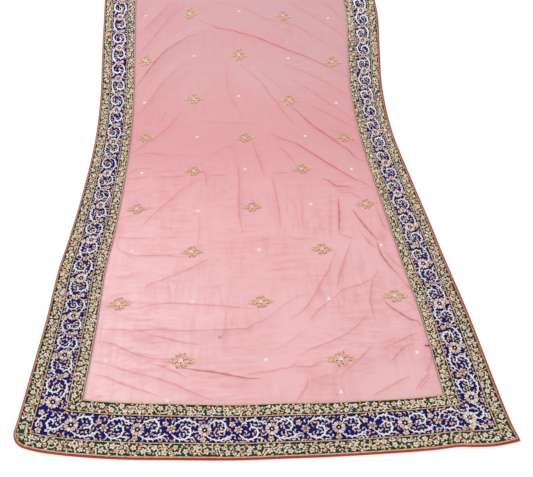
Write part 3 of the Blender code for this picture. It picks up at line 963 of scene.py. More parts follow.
# %% A new material and its shader
def new_finish(name, roughness, metallic=0.0, sheen=0.0, sheen_tint=WHITE):
    """A material whose shader has its plain numbers set on its own sockets."""
    material = bpy.data.materials.new(name)
    material.use_nodes = True
    tree = material.node_tree
    shader = tree.nodes["Principled BSDF"]
    shader.inputs["Roughness"].default_value = roughness
    shader.inputs["Metallic"].default_value = metallic
    shader.inputs["Sheen Weight"].default_value = sheen
    shader.inputs["Sheen Roughness"].default_value = 0.5
    shader.inputs["Sheen Tint"].default_value = sheen_tint
    return material, tree, shader


def feed(tree, shader, color, relief):
    """Link a colour, and the normal of a shared group, to a shader."""
    tree.links.new(color, shader.inputs["Base Color"])
    tree.links.new(relief.outputs["Normal"], shader.inputs["Normal"])


# %% Metal thread: copper, silver and gold
WRAP_DEPTH = 0.6
GROOVE_SHADE = 0.35
SPECKLE = 1.5


def make_thread(name, dark, middle, light, metallic, roughness, wraps, slant):
    """Thread work whose tone changes from stitch to stitch."""
    material, tree, shader = new_finish(name, roughness, metallic)
    tone = add_group(tree, STITCH_TONE, Dark=paint(*dark), Middle=paint(*middle), Light=paint(*light),
                     Speckle=SPECKLE)
    wrapped = add_group(tree, THREAD_WRAPS, Wraps_per_metre=wraps, Slant=slant, Depth=WRAP_DEPTH)
    # The grooves between the wraps are painted darker, as shade.
    between = add_math(tree, "SUBTRACT", 1.0, wrapped.outputs["Mask"])
    painted_groove_shade = add_math(tree, "MULTIPLY", between, GROOVE_SHADE)
    color = add_mix(tree, painted_groove_shade, tone.outputs["Color"], paint(*dark))
    feed(tree, shader, color, wrapped)
    return material


# Each has a dark, a middle and a light colour, how metallic and how rough it is, its wraps per metre
# and how far they slant.
# The dark colour also paints the shade in the grooves and low on each stitch, the light one a highlight on
# top.
COPPER = make_thread("copper_thread", (140, 90, 60), (248, 211, 173), (255, 251, 242), 0.1, 0.45, 900, 0.5)
SILVER = make_thread("silver_thread", (186, 180, 174), (246, 243, 238), (255, 255, 253), 0.0, 0.4, 800, 0.4)
GOLD = make_thread("gold_cord", (160, 108, 70), (222, 180, 138), (246, 218, 184), 0.1, 0.45, 500, 0.9)
BRIGHT_GOLD = make_thread("bright_gold", (120, 62, 30), (225, 158, 98), (255, 234, 200), 0.1, 0.45, 600, 0.6)


# %% Velvet: a dark pile with a soft sheen
VELVET_SHINE = 0.12


def make_velvet(name, deep, raised, tint):
    """Velvet whose pile is pressed in patches."""
    material, tree, shader = new_finish(name, 0.85, 0.0, 0.08, paint(*tint))
    shader.inputs["Specular IOR Level"].default_value = VELVET_SHINE
    ground = add_group(tree, CLOTH_GROUND, Threads_per_metre=1300.0, Patches_per_metre=160.0, Depth=0.4)
    feed(tree, shader, add_mix(tree, ground.outputs["Patches"], paint(*deep), paint(*raised)), ground)
    return material


# Each has the colours of its deep and its raised pile, and the tint of its sheen.
BLUE_VELVET = make_velvet("blue_velvet", (14, 12, 86), (26, 24, 124), (50, 50, 180))
GREEN_VELVET = make_velvet("green_velvet", (8, 54, 38), (22, 84, 64), (50, 130, 100))


# %% Red satin for the binding
SATIN_COAT = 0.15
SATIN_PAINTED_HIGHLIGHT = 0.2


def make_satin():
    """Satin turned over a cord, with the pull of its stitches and a painted highlight along their ridges."""
    material, tree, shader = new_finish("red_satin", 0.42)
    shader.inputs["Coat Weight"].default_value = SATIN_COAT
    wrapped = add_group(tree, THREAD_WRAPS, Wraps_per_metre=160.0, Slant=0.6, Depth=0.5)
    ground = add_group(tree, CLOTH_GROUND, Threads_per_metre=2000.0, Patches_per_metre=60.0, Depth=0.2)
    worn = add_mix(tree, ground.outputs["Patches"], paint(134, 12, 14), paint(178, 26, 26))
    # Along the ridges of the stitches a lighter red is painted as a highlight.
    painted_highlight = add_math(tree, "MULTIPLY", wrapped.outputs["Mask"], SATIN_PAINTED_HIGHLIGHT)
    feed(tree, shader, add_mix(tree, painted_highlight, worn, paint(226, 70, 62)), wrapped)
    return material


RED_SATIN = make_satin()

# %% [markdown]
# ## The pink net
#
# The net is a fine tulle, dyed pink, and so sheer that the pale floor lightens it.  Its pink is
# painted darker towards the far end and the right, as shade, and paler to the near left, as light.
# A brown stain is left on it from use.  The shader mixes pinks along the length, deepens them up
# each crease, and lets a little light through.

# %% Net finish
STAIN_SEEN = (220, 338)
STAIN_PLACE = on_floor([STAIN_SEEN])[0]
STAIN_RADIUS = 0.0045
STAIN_EDGE = (STAIN_RADIUS + 2 * MM, STAIN_RADIUS - 1 * MM)
STAIN_HEIGHT = 0.003
STAIN_SHARE = 0.7
STAIN_COLOR = paint(176, 126, 104)
NET_OPACITY = 0.90
HOLE_OPACITY = NET_OPACITY - 0.12

# It is painted paler to the near left, as light, and cooler to the right, as shade: where each begins and is
# full, in metres.
PAINTED_LIGHT_LEFT = (0.0, -0.32)
PAINTED_LIGHT_NEAR = (-0.30, -0.78)
PAINTED_LIGHT_SHARE = 0.95
PAINTED_LIGHT_PINK = paint(252, 213, 215)
PAINTED_SHADE_RIGHT = (0.02, 0.34)
PAINTED_SHADE_TINT = paint(249, 252, 252)
MOTTLED_SHARE = 0.2
MOTTLED_PINK = paint(222, 154, 159)
SLIGHT_CREASE = paint(238, 122, 126)
DEEP_CREASE = paint(202, 100, 110)

# Pinks along the length, the net's own pink painted darker towards the far end as shade: how far along it
# is, as a share, and the colour there.
Pink = namedtuple("Pink", "share color")
PINKS = (
    Pink(0.12, paint(241, 185, 188)),
    Pink(0.26, paint(239, 180, 183)),
    Pink(0.40, paint(225, 162, 166)),
    Pink(0.51, paint(221, 171, 174)),
    Pink(0.72, paint(210, 168, 172)),
)

# Fine crinkle: how it is stretched and turned, and which areas it is in.
Crinkle = namedtuple("Crinkle", "scale turn area")
CRINKLES = (
    Crinkle((14.0, 90.0, 1.0), 0.12, 0.0),
    Crinkle((80.0, 12.0, 1.0), -0.15, 9.0),
    Crinkle((30.0, 110.0, 1.0), 0.6, 4.0),
)
CRINKLE_ENDS = (0.42, 0.72)
CRINKLE_SHARE = 0.5
CRINKLE_PINK = paint(226, 146, 152)
AREA_SCALE = 6.0
AREA_ENDS = (0.40, 0.62)


def make_net_finish(name, deepening, pinched):
    """Pink tulle; deepening is how much darker it is up a crease, or a tuck that is pinched."""
    material, tree, shader = new_finish(name, 0.8, 0.0, 0.12, paint(255, 214, 216))
    place = add_node(tree, "ShaderNodeTexCoord").outputs["Object"]
    parts = add_node(tree, "ShaderNodeSeparateXYZ", Vector=place)
    length = add_range(tree, parts.outputs[1], (-CUT_LENGTH / 2, CUT_LENGTH / 2))
    # The net's own pink, painted darker towards the far end as shade.
    ramp = add_node(tree, "ShaderNodeValToRGB", Fac=length)
    for number in range(2, len(PINKS)):
        ramp.color_ramp.elements.new(number / len(PINKS))
    for element, pink in zip(ramp.color_ramp.elements, PINKS):
        element.position = pink.share
        element.color = pink.color
    # Paler to the near left as painted light; below, darker to the right as painted shade.
    leftness = add_range(tree, parts.outputs[0], PAINTED_LIGHT_LEFT, low=0.3)
    nearness = add_range(tree, parts.outputs[1], PAINTED_LIGHT_NEAR)
    pale = add_math(tree, "MULTIPLY", leftness, nearness)
    lit = add_mix(tree, add_math(tree, "MULTIPLY", pale, PAINTED_LIGHT_SHARE), ramp.outputs[0], PAINTED_LIGHT_PINK)
    rightness = add_range(tree, parts.outputs[0], PAINTED_SHADE_RIGHT)
    streaked = add_mix(tree, rightness, lit, PAINTED_SHADE_TINT, "MULTIPLY")
    for crinkled in CRINKLES:
        streaks = add_node(tree, "ShaderNodeMapping", Vector=place, Rotation=(0, 0, crinkled.turn),
                           Scale=crinkled.scale)
        streak = add_noise(tree, streaks.outputs[0], 1.0, detail=5.0, distortion=0.8)
        crinkle = add_range(tree, streak, CRINKLE_ENDS, high=CRINKLE_SHARE)
        areas = add_node(tree, "ShaderNodeMapping", Vector=place, Location=(crinkled.area, 0, 0))
        often = add_range(tree, add_noise(tree, areas.outputs[0], AREA_SCALE), AREA_ENDS)
        streaked = add_mix(tree, add_math(tree, "MULTIPLY", crinkle, often), streaked, CRINKLE_PINK)
    ground = add_group(tree, CLOTH_GROUND, Threads_per_metre=1400.0, Patches_per_metre=24.0, Depth=0.15)
    patch = add_math(tree, "MULTIPLY", ground.outputs["Patches"], MOTTLED_SHARE)
    mottled = add_mix(tree, patch, streaked, MOTTLED_PINK)
    up_crease = add_node(tree, "ShaderNodeAttribute", {"attribute_name": "tone"}).outputs["Fac"]
    deep = add_math(tree, "MULTIPLY", up_crease, deepening)
    if pinched:
        chart = add_node(tree, "ShaderNodeUVMap", {"uv_map": "chart"})
        aside = add_node(tree, "ShaderNodeSeparateXYZ", Vector=chart.outputs[0]).outputs[1]
        pinch = add_range(tree, add_math(tree, "ABSOLUTE", aside), (1.0, 0.0),
                          settings={"interpolation_type": "SMOOTHSTEP"})
        deep = add_math(tree, "MULTIPLY", deep, pinch)
    rosy = add_mix(tree, up_crease, SLIGHT_CREASE, DEEP_CREASE)
    creased = add_mix(tree, deep, mottled, rosy)
    spot = add_node(tree, "ShaderNodeVectorMath", {"operation": "DISTANCE"}, _0=place,
                    _1=(*STAIN_PLACE, STAIN_HEIGHT)).outputs["Value"]
    wobble = add_noise(tree, place, 260.0)
    edge = add_math(tree, "ADD", spot, add_math(tree, "MULTIPLY", wobble, 3 * MM))
    stain = add_range(tree, edge, STAIN_EDGE, high=STAIN_SHARE)
    feed(tree, shader, add_mix(tree, stain, creased, STAIN_COLOR), ground)
    holes = add_range(tree, ground.outputs["Threads"], (-0.6, 0.4), HOLE_OPACITY, NET_OPACITY)
    tree.links.new(holes, shader.inputs["Alpha"])
    return material


NET_FINISH = make_net_finish("pink_net", deepening=0.12, pinched=False)
TUCK_FINISH = make_net_finish("pink_net_pinched", deepening=1.0, pinched=True)

# %% [markdown]
# The net is one grid, fine over the nearest three quarters of the length, coarser past that, and
# coarsest under the ribbons.  Its points are places of the cut that lay() puts on the floor and
# net_heights() lifts.  Solidify gives it its thickness.

# %% Net stations
NET_STEP = 0.0056
NET_FAR_STEP = 0.0095
NET_FINE_END = 1.72
NET_THICKNESS = 0.5 * MM
NET_BOTTOM = 0.3 * MM
NET_EDGE = PIPING_LINE + 0.6 * MM
BORDER_STATIONS = [NET_EDGE, 0.018, OUTER_LINE, 0.058, INNER_LINE]


def spaced(first, last, step):
    """Evenly spaced numbers from first to last, about step apart."""
    return list(np.linspace(first, last, int(round((last - first) / step)) + 1))


net_across = (BORDER_STATIONS + spaced(NET_LINE, CUT_WIDTH - NET_LINE, NET_STEP)
              + [CUT_WIDTH - place for place in reversed(BORDER_STATIONS)])
net_along = (BORDER_STATIONS + spaced(NET_LINE, NET_FINE_END, NET_STEP)
             + spaced(NET_FINE_END, CUT_LENGTH - NET_LINE, NET_FAR_STEP)[1:]
             + [CUT_LENGTH - place for place in reversed(BORDER_STATIONS)])


# %% A grid laid through a function
CLOTH_EDGE = math.radians(60)


def laid_grid(name, columns, rows, place, thickness, material):
    """A cloth sheet: a grid primitive whose points go to place(column, row), with a wall."""
    deselect_all()
    bpy.ops.mesh.primitive_grid_add(x_subdivisions=columns, y_subdivisions=rows, size=2)
    piece = bpy.context.object
    piece.name = name
    count = len(piece.data.vertices)
    flat = np.empty(count * 3, np.float32)
    piece.data.vertices.foreach_get("co", flat)
    flat = flat.reshape(-1, 3)
    column = np.rint((flat[:, 0] + 1) / 2 * columns).astype(int)
    row = np.rint((flat[:, 1] + 1) / 2 * rows).astype(int)
    points, tone = place(column, row)
    piece.data.vertices.foreach_set("co", points.astype(np.float32).ravel())
    piece.data.attributes.new("tone", "FLOAT", "POINT").data.foreach_set("value", tone.astype(np.float32))
    piece.data.update()
    wall = piece.modifiers.new("Wall", "SOLIDIFY")
    wall.thickness = thickness
    wall.offset = 1.0
    apply_modifiers(piece)
    bpy.ops.object.shade_smooth_by_angle(angle=CLOTH_EDGE)
    piece.data.materials.append(material)
    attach(piece, BODY)
    return piece


# %% Make the net
def place_net(column, row):
    """Where the net's grid points lie, and how far up a crease each one is."""
    across = np.array(net_across)[column]
    along = np.array(net_along)[row]
    room = np.minimum(np.minimum(across, CUT_WIDTH - across), np.minimum(along, CUT_LENGTH - along))
    x, y = lay(across, along)
    height, up_crease = net_heights(x, y, room - NET_LINE)
    tone = up_crease / SHARPNESS["strong"].height
    return np.stack((x, y, NET_BOTTOM + height), axis=1), tone


net_cloth = laid_grid("net_cloth", len(net_across) - 1, len(net_along) - 1, place_net,
                      NET_THICKNESS, NET_FINISH)
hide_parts("net_panel")
net_cloth.data.calc_loop_triangles()
print("net:", len(net_cloth.data.loop_triangles), "triangles")

# %% Find the net's top under a place
net_top = BVHTree.FromObject(net_cloth, bpy.context.evaluated_depsgraph_get())
DROP_HEIGHT = 0.1


def on_net(x, y, height):
    """Points at a height above the net's top."""
    points = np.empty((len(x), 3))
    for index, (px, py, up) in enumerate(zip(x, y, height)):
        hit = net_top.ray_cast(Vector((px, py, DROP_HEIGHT)), Vector((0, 0, -1)))[0]
        points[index] = (px, py, hit.z + up)
    return points


# %% [markdown]
# ## Pressed tucks
#
# Along each crease the net is pinched double, so it looks like a thin darker line.  Each one is a
# slender tuck of the same net that lies on the crease, about a centimetre wide and deepest in its
# middle.

# %% Make the tucks
TUCK_SPACING = 0.007
TUCK_ACROSS = np.array((-1.0, -0.45, 0.0, 0.45, 1.0))
TUCK_RISE = np.array((0.0, 0.7, 1.0, 0.7, 0.0))
TUCK_FLOAT = 0.05 * MM
TUCK_WALL = 0.25 * MM
TUCK_STEEPNESS = 0.05
TUCK_ENDS = (0.02, 0.98)
TUCK_BLUNT = 0.6
TUCK_WAVE = 0.25
WIDE = len(TUCK_ACROSS)


def tuck(work, line, width, tone):
    """One tuck: five points across, low at both sides, with its underside on the net."""
    count = len(line)
    aside = left_of(np.gradient(line, axis=0))
    t = np.linspace(0, 1, count)
    swell = np.sin(np.pi * np.clip(t, *TUCK_ENDS)) ** TUCK_BLUNT
    wave = 1 + TUCK_WAVE * np.sin(9 * np.pi * t + 40 * line[:, 0])
    half = width / 2 * swell * wave
    plane = line[:, None, :] + (half[:, None] * TUCK_ACROSS)[:, :, None] * aside[:, None, :]
    lift = TUCK_FLOAT + TUCK_STEEPNESS * half[:, None] * TUCK_RISE
    top = on_net(plane[:, :, 0].ravel(), plane[:, :, 1].ravel(), lift.ravel())
    under = top - np.array((0, 0, TUCK_WALL))
    points = np.vstack((top, under))
    below = WIDE * count
    faces = []
    for station in range(count - 1):
        for side in range(WIDE - 1):
            a = station * WIDE + side
            b, c, d = a + 1, a + WIDE + 1, a + WIDE
            faces += [(a, d, c), (a, c, b)]
            faces += [(a + below, c + below, d + below), (a + below, b + below, c + below)]
        for a, flip in ((station * WIDE, False), (station * WIDE + WIDE - 1, True)):
            rim = [(a, a + below, a + WIDE + below), (a, a + WIDE + below, a + WIDE)]
            faces += [face[::-1] for face in rim] if flip else rim
    for first, flip in ((0, True), ((count - 1) * WIDE, False)):
        for a in range(first, first + WIDE - 1):
            cap = [(a, a + 1, a + 1 + below), (a, a + 1 + below, a + below)]
            faces += cap if flip else [face[::-1] for face in cap]
    chart = np.stack((np.repeat(t, WIDE), np.tile(TUCK_ACROSS, count)), axis=1)
    tones = np.full(len(points), tone)
    work.add(points, np.array(faces), np.vstack((chart, chart)), tones)


TUCK_TONE = {"strong": 0.84, "plain": 0.45, "faint": 0.24}
tucks = Needlework()
for kind, points in CREASES:
    tuck(tucks, crease_line(points, TUCK_SPACING), SHARPNESS[kind].tuck_width, TUCK_TONE[kind])
net_tucks = tucks.sew("net_tucks", TUCK_FINISH)

# %% [markdown]
# ## Velvet ribbons
#
# Three ribbons lie side by side round the edge, green, blue and green, each in four lengths that
# are mitred at the corners.  They are thin sheets that ripple with the border.

# %% Make the ribbons
RIBBON_BOTTOM = 1.4 * MM
RIBBON_STEP = 0.008
RIBBON_COLUMNS = 4
SEAM = 0.15 * MM
Ribbon = namedtuple("Ribbon", "name outer inner finish slot")
RIBBONS = (
    Ribbon("green_outer", PIPING_LINE, OUTER_LINE, GREEN_VELVET, "green_velvet"),
    Ribbon("blue", OUTER_LINE, INNER_LINE, BLUE_VELVET, "blue_velvet"),
    Ribbon("green_inner", INNER_LINE, NET_LINE, GREEN_VELVET, "green_velvet"),
)


def make_ribbon_length(ribbon, side):
    """One mitred length of a ribbon."""
    low = ribbon.outer + SEAM
    high = ribbon.inner - SEAM
    size = side_size(side)
    rows = int(size / RIBBON_STEP)

    def place(column, row):
        inset = low + (high - low) * column / RIBBON_COLUMNS
        run = inset + SEAM + (size - 2 * inset - 2 * SEAM) * row / rows
        points = on_border(side, run, inset, RIBBON_BOTTOM)
        return points, np.zeros(len(points))

    return laid_grid(f"velvet_{ribbon.name}_{side}", RIBBON_COLUMNS, rows, place,
                     RIBBON_TOP - RIBBON_BOTTOM, ribbon.finish)


for ribbon in RIBBONS:
    for side in SIDES:
        strip = make_ribbon_length(ribbon, side)
        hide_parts(f"{ribbon.name}_{side}")
print("ribbons:", 4 * len(RIBBONS), "lengths")

# %% [markdown]
# ## Cords and binding
#
# A gold cord is couched over each seam, and a thicker one along the outer edge.  Outside it the
# edge is bound with red satin over a soft cord, fuller along the near hem and the right side than
# along the far hem and the left.  All are closed rings round the border.

# %% Rings round the border
CORNER_EASE = 0.04
RING_REST = 0.25


def ring_places(inset, step):
    """Places of a ring round the cut, as x, y and the inset there.

    inset holds one distance from the edge for each side, and changes evenly near the corners.
    """
    found = []
    for number, side in enumerate(SIDES):
        own = inset[number]
        start = (inset[number - 1] + own) / 2
        end = (inset[(number + 1) % 4] + own) / 2
        last = side_size(side) - end
        count = int(round((last - start) / step))
        run = start + (last - start) * np.arange(count) / count
        bends = (start, start + CORNER_EASE, last - CORNER_EASE, last)
        away = np.interp(run, bends, (start, own, own, end))
        found.append(np.stack((*lay(*along_side(side, run, away)), away)))
    return np.concatenate(found, axis=1)


def plain_tone(away):
    """The middle tone, whatever the inset."""
    return MIDDLE_TONE


def sew_ring(name, inset, radius, sides, step, bottom, material, twist=0.0, flat=1.0, ripple=1.0,
             tone=plain_tone):
    """A cord round the whole border; radius and tone are functions of the inset."""
    work = Needlework()
    x, y, away = ring_places(inset, step)
    size = radius(away)
    shape = rope(np.stack((x, y), axis=1), size, sides, flat=flat, closed=True, twist=twist,
                 shade=DEEP_SHADE)
    points = shape.points.copy()
    rise = ripple * border_ripple(x, y) + bottom + RING_REST * flat * size
    points[:, 2] += np.repeat(rise, sides)
    run = np.repeat(np.arange(len(x)) * step, sides)
    around = np.tile(np.arange(sides) * 2 * math.pi * size.mean() / sides, len(x))
    tones = np.repeat(tone(away) + 0 * away, sides) + shape.tint
    work.add(points, shape.faces, np.stack((run, around), axis=1), tones)
    return work.sew(name, material)


CORD_BOTTOM = 2.2 * MM
CORD_STEP = 2.6 * MM
CORD_TWIST = 1.15
Cord = namedtuple("Cord", "node insets radius tone")
EDGE_NEAR, EDGE_SIDES = PIPING_LINE + 0.4 * MM, PIPING_LINE + 1.4 * MM
# EDGE_TONE is the painted shade of the edge cord along the sides; EDGE_BRIGHTER lifts it along the near hem.
EDGE_TONE = 0.06
EDGE_BRIGHTER = 0.34


def edge_painted_shade(away):
    """The edge cord is painted darker along the sides, as shade, and brighter along the near hem, where it
    lies farther out.
    """
    return EDGE_TONE + EDGE_BRIGHTER * np.clip((EDGE_SIDES - away) / (EDGE_SIDES - EDGE_NEAR), 0, 1)


CORD_SIDES = 6
SEAM_CORD = 0.95 * MM
EDGE_CORD = 1.4 * MM
CORD_IN = 1.0 * MM
CORDS = (
    Cord("cord_edge", (EDGE_NEAR,) + (EDGE_SIDES,) * 3, EDGE_CORD, edge_painted_shade),
    Cord("cord_outer", (OUTER_LINE,) * 4, SEAM_CORD, plain_tone),
    Cord("cord_inner", (INNER_LINE,) * 4, SEAM_CORD, plain_tone),
    Cord("cord_net", (NET_LINE - CORD_IN,) * 4, SEAM_CORD, plain_tone),
)
for cord in CORDS:
    ring = sew_ring(f"gold_{cord.node}", cord.insets, lambda away: np.full(len(away), cord.radius),
                    CORD_SIDES, CORD_STEP, CORD_BOTTOM, GOLD, CORD_TWIST, tone=cord.tone)
    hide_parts(cord.node)

# %% The binding lies against the ribbon, so it is thinner where its middle is farther in
BINDING_RADII = (2.1 * MM, 2.1 * MM, 1.5 * MM, 1.5 * MM)
BINDING_SIDES = 8
BINDING_STEP = 5 * MM
BINDING_BOTTOM = 0.1 * MM
piping = sew_ring("red_binding", tuple(PIPING_LINE - radius for radius in BINDING_RADII),
                  lambda away: PIPING_LINE - away, BINDING_SIDES, BINDING_STEP, BINDING_BOTTOM,
                  RED_SATIN, ripple=0.0, flat=0.95)
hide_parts("red_piping")

# %% [markdown]
# ## Shapes of the raised work
#
# Leaves, petals and beads are modelled once.  A leaf starts as a small sphere laid on its side,
# cut flat underneath, pinched at one end and bent with a modifier.  A petal is a filled ring with a
# raised rim.

# %% A padded leaf, straight or curled
LEAF_SEGMENTS = 4
LEAF_TAPER = 0.7


def cut_flat():
    """In edit mode, cut off whatever is below height 0 and close the cut."""
    bpy.ops.mesh.bisect(plane_co=(0, 0, 0), plane_no=(0, 0, 1), clear_inner=True, use_fill=True,
                        threshold=0.00001)


def model_leaf(length, width, height, curl, rings=4):
    """A padded leaf along X that tapers to its tip."""
    deselect_all()
    bpy.ops.mesh.primitive_uv_sphere_add(segments=LEAF_SEGMENTS, ring_count=rings, radius=0.5)
    leaf = bpy.context.object
    edit_all()
    bpy.ops.transform.rotate(value=math.pi / 2, orient_axis="Y", center_override=(0, 0, 0))
    bpy.ops.transform.resize(value=(length, width, 2 * height))
    cut_flat()
    bpy.ops.object.mode_set(mode="OBJECT")
    pinch = leaf.modifiers.new("Pinch", "SIMPLE_DEFORM")
    pinch.deform_method = "TAPER"
    pinch.deform_axis = "X"
    pinch.factor = LEAF_TAPER
    if curl:
        bend = leaf.modifiers.new("Curl", "SIMPLE_DEFORM")
        bend.deform_method = "BEND"
        bend.deform_axis = "Z"
        bend.angle = curl
    apply_modifiers(leaf)
    return take_shape(leaf, DEEP_SHADE)


CURLED_LEAF = model_leaf(length=10.5 * MM, width=3.6 * MM, height=1.5 * MM, curl=math.radians(185), rings=6)
FAT_LEAF = model_leaf(length=7.6 * MM, width=3.9 * MM, height=1.3 * MM, curl=math.radians(70))
SPUR_LEAF = model_leaf(length=6.0 * MM, width=2.8 * MM, height=1.3 * MM, curl=0)
print("curled leaf:", len(CURLED_LEAF.faces), "triangles; fat leaf:", len(FAT_LEAF.faces))


# %% A petal with a raised rim, and a bead
BEAD_SEGMENTS = 7
BEAD_RINGS = 4
PETAL_RIM = (0.8, 0.75, 1)
PETAL_MIDDLE = (0.5, 0.45, 1)
PETAL_SINK = 0.55
PETAL_SHADE = 0.9
BEAD_SHADE = 0.4


def model_petal(length, width, height, corners=8):
    """An oval petal along X with a raised rim round a sunk middle."""
    deselect_all()
    bpy.ops.mesh.primitive_circle_add(vertices=corners, radius=0.5, fill_type="NGON")
    petal = bpy.context.object
    edit_all()
    bpy.ops.transform.resize(value=(length, width, 1))
    bpy.ops.mesh.extrude_region_move(TRANSFORM_OT_translate={"value": (0, 0, height)})
    bpy.ops.transform.resize(value=PETAL_RIM)
    bpy.ops.mesh.extrude_region_move(TRANSFORM_OT_translate={"value": (0, 0, -PETAL_SINK * height)})
    bpy.ops.transform.resize(value=PETAL_MIDDLE)
    bpy.ops.mesh.select_all(action="SELECT")
    bpy.ops.mesh.normals_make_consistent(inside=False)
    bpy.ops.object.mode_set(mode="OBJECT")
    return take_shape(petal, PETAL_SHADE)


def model_bead(radius, height):
    """A low round bead."""
    deselect_all()
    bpy.ops.mesh.primitive_uv_sphere_add(segments=BEAD_SEGMENTS, ring_count=BEAD_RINGS, radius=radius)
    bead = bpy.context.object
    edit_all()
    bpy.ops.transform.resize(value=(1, 1, height / radius))
    cut_flat()
    bpy.ops.object.mode_set(mode="OBJECT")
    return take_shape(bead, BEAD_SHADE)


PETAL = model_petal(length=8.8 * MM, width=7.6 * MM, height=1.5 * MM)
SMALL_PETAL = model_petal(length=5.6 * MM, width=5.0 * MM, height=1.3 * MM, corners=6)
BEAD = model_bead(radius=1.8 * MM, height=1.6 * MM)


# %% Flowers are petals round a middle
PETAL_SWAY = 0.26


def flower(petal, count, reach, start=0.0):
    """Petals set round a point, each a little lighter or darker than the next."""
    petals = []
    for number in range(count):
        turn = start + 2 * math.pi * number / count
        tint = PETAL_SWAY * math.sin(2.4 * number)
        petals.append(move_shape(petal, reach * math.cos(turn), reach * math.sin(turn), turn, tint=tint))
    return join_shapes(petals)


LARGE_PETALS = 7
LARGE_FLOWER = flower(PETAL, LARGE_PETALS, reach=9.0 * MM)
SILVER_RAYS = flower(move_shape(SPUR_LEAF, grow=0.9), LARGE_PETALS, 11.5 * MM, math.pi / LARGE_PETALS)
SMALL_FLOWER = join_shapes([flower(SMALL_PETAL, count=6, reach=5.2 * MM),
                            move_shape(BEAD, grow=1.1, tint=-0.2)])
BUD_FLOWER = join_shapes([flower(SMALL_PETAL, count=5, reach=3.7 * MM),
                          move_shape(BEAD, grow=0.9, tint=-0.4)])
print("large flower:", len(LARGE_FLOWER.faces), "triangles")

# %% [markdown]
# ## The creeper on the blue ribbon
#
# A silver creeper runs along the blue ribbon.  Large and small flowers take turns on it, about
# 60 mm apart where the pattern is not drawn out.  Its scrolls curl in from above after a large
# flower and from below after a small one.
# One stretch from each kind of flower to the next is charted in millimetres, then repeated
# with small changes, as hand work has.  Copper leaves fill the ground wherever there is room.

# %% The chart of the creeper: distance past the flower, and distance in from the ribbon's middle
Stretch = namedtuple("Stretch", "stems buds")
AFTER_LARGE = Stretch(
    stems=(
        (1.5, ((8, 9), (13, 14.5), (21, 18), (30, 18), (36.5, 13), (39, 6), (36, -1), (30, -3.5),
               (24.5, -1.5))),
        (1.4, ((4, -12), (11, -17.5), (20, -20), (30, -20), (38, -17), (46, -12.5), (54, -9))),
        (1.1, ((38, -17), (43, -17.5), (48, -20.5))),
        (1.1, ((30, 18), (34, 20.5), (39, 20.5))),
    ),
    buds=((50, 11.5),),
)
AFTER_SMALL = Stretch(
    stems=(
        (1.5, ((2, -9), (8, -16), (16, -20), (25, -19.5), (32.5, -14.5), (36, -7), (34.5, 1), (29, 5),
                (23, 4.5), (20, 0.5))),
        (1.4, ((4.5, 7), (9.5, 13.5), (17, 18), (26, 19.5), (35, 17.5), (44, 13.5), (51, 9))),
        (1.1, ((32.5, -14.5), (38, -17), (43, -17))),
        (1.1, ((26, 19.5), (30, 22), (34, 22))),
    ),
    buds=((59, -19.5),),
)
FLOWER_START = 0.101
FLOWER_PITCH = {"near": 0.0614, "right": 0.0565, "far": 0.0597, "left": 0.0565}
FLOWER_END = {"near": 0.076, "right": 0.101, "far": 0.101, "left": 0.101}
BLUE_MIDDLE = (OUTER_LINE + INNER_LINE) / 2


def flower_places(side):
    """Runs of the flowers along a side: an odd number, large at both ends."""
    last = side_size(side) - FLOWER_END[side]
    gaps = 2 * int(round(pattern_length(side, FLOWER_START, last) / FLOWER_PITCH[side] / 2))
    return pattern_steps(side, FLOWER_START, last, gaps=gaps)


print("flowers on each side:", {side: len(flower_places(side)) for side in SIDES})

# %% The corner of the creeper
CORNER = Stretch(
    stems=(
        (1.5, ((33, 2), (25, -9), (14, -13), (4, -9), (2, 0), (8, 6), (14, 3), (13, -3))),
        (1.2, ((0, 17), (-8, 10), (-15, 0), (-18, -12))),
        (1.1, ((14, -13), (8, -17), (1, -18.5))),
        (1.1, ((16, 19), (23, 13), (31, 12))),
    ),
    buds=((-13, 17), (-11, -19)),
)
CORNER_RUN = BLUE_MIDDLE - 4 * MM

# %% Sew the stems, and note where leaves may not go
chance = np.random.default_rng(7)
silver_stems = Needlework()
silver_spurs = Needlework()
copper_flowers = Needlework()
silver_eyes = Needlework()
taken = {side: [] for side in SIDES}
STEM_ROOM = 4.4 * MM
BUD_ROOM = 8.8 * MM
LARGE_ROOM = 16.5 * MM
SMALL_ROOM = 12.0 * MM
SPUR_REACH = 2.8 * MM
LINE_SPACING = 2.2

# Ranges that chance draws from, as their low and high ends.
ANY_TURN = (0, 6)
SPUR_LEAN = (0.5, 0.9)
SPUR_GROW = (0.75, 1.1)
SPUR_TONE = (0.4, 0.8)
STEM_JITTER = (-0.7, 0.7)
STEM_BOLD = (0.85, 1.02)
STEM_TONE = (0.5, 0.75)
BUD_TONE = (0.35, 0.6)
FLOWER_JITTER = (-1.2, 1.2)
FLOWER_GROW = (0.95, 1.06)
FLOWER_TONE = (0.45, 0.65)
SMALL_GROW = 1.1
EYE_TONE = 0.8
SMALL_EYE_TONE = 0.7
SMALL_EYE_GROW = 0.7

# Stems are bolder and paler far up the stole.
FAR_BOLDER = 0.5
FAR_PALER = 0.25


def one_spot(run, inset, turn=0.0, grow=1.0, tone=MIDDLE_TONE):
    """A single spot for sew_on_border."""
    return Spots(*(np.array([value]) for value in (run, inset, turn, grow, tone)))


def sew_spurs(side, start, line):
    """Small silver leaves that stand off a stem by turns on its two sides."""
    at = np.arange(2, len(line) - 1, 2)
    hand = np.where(np.arange(len(at)) % 2 == 0, 1, -1)
    lean = heading(line, at) + hand * chance.uniform(*SPUR_LEAN, len(at))
    ahead = (line[at, 0] + SPUR_REACH * np.cos(lean)) * lengthening(side, start)
    spots = Spots(start + ahead, BLUE_MIDDLE + line[at, 1] + SPUR_REACH * np.sin(lean),
                  lean, chance.uniform(*SPUR_GROW, len(at)), chance.uniform(*SPUR_TONE, len(at)))
    sew_on_border(silver_spurs, side, SPUR_LEAF, spots)


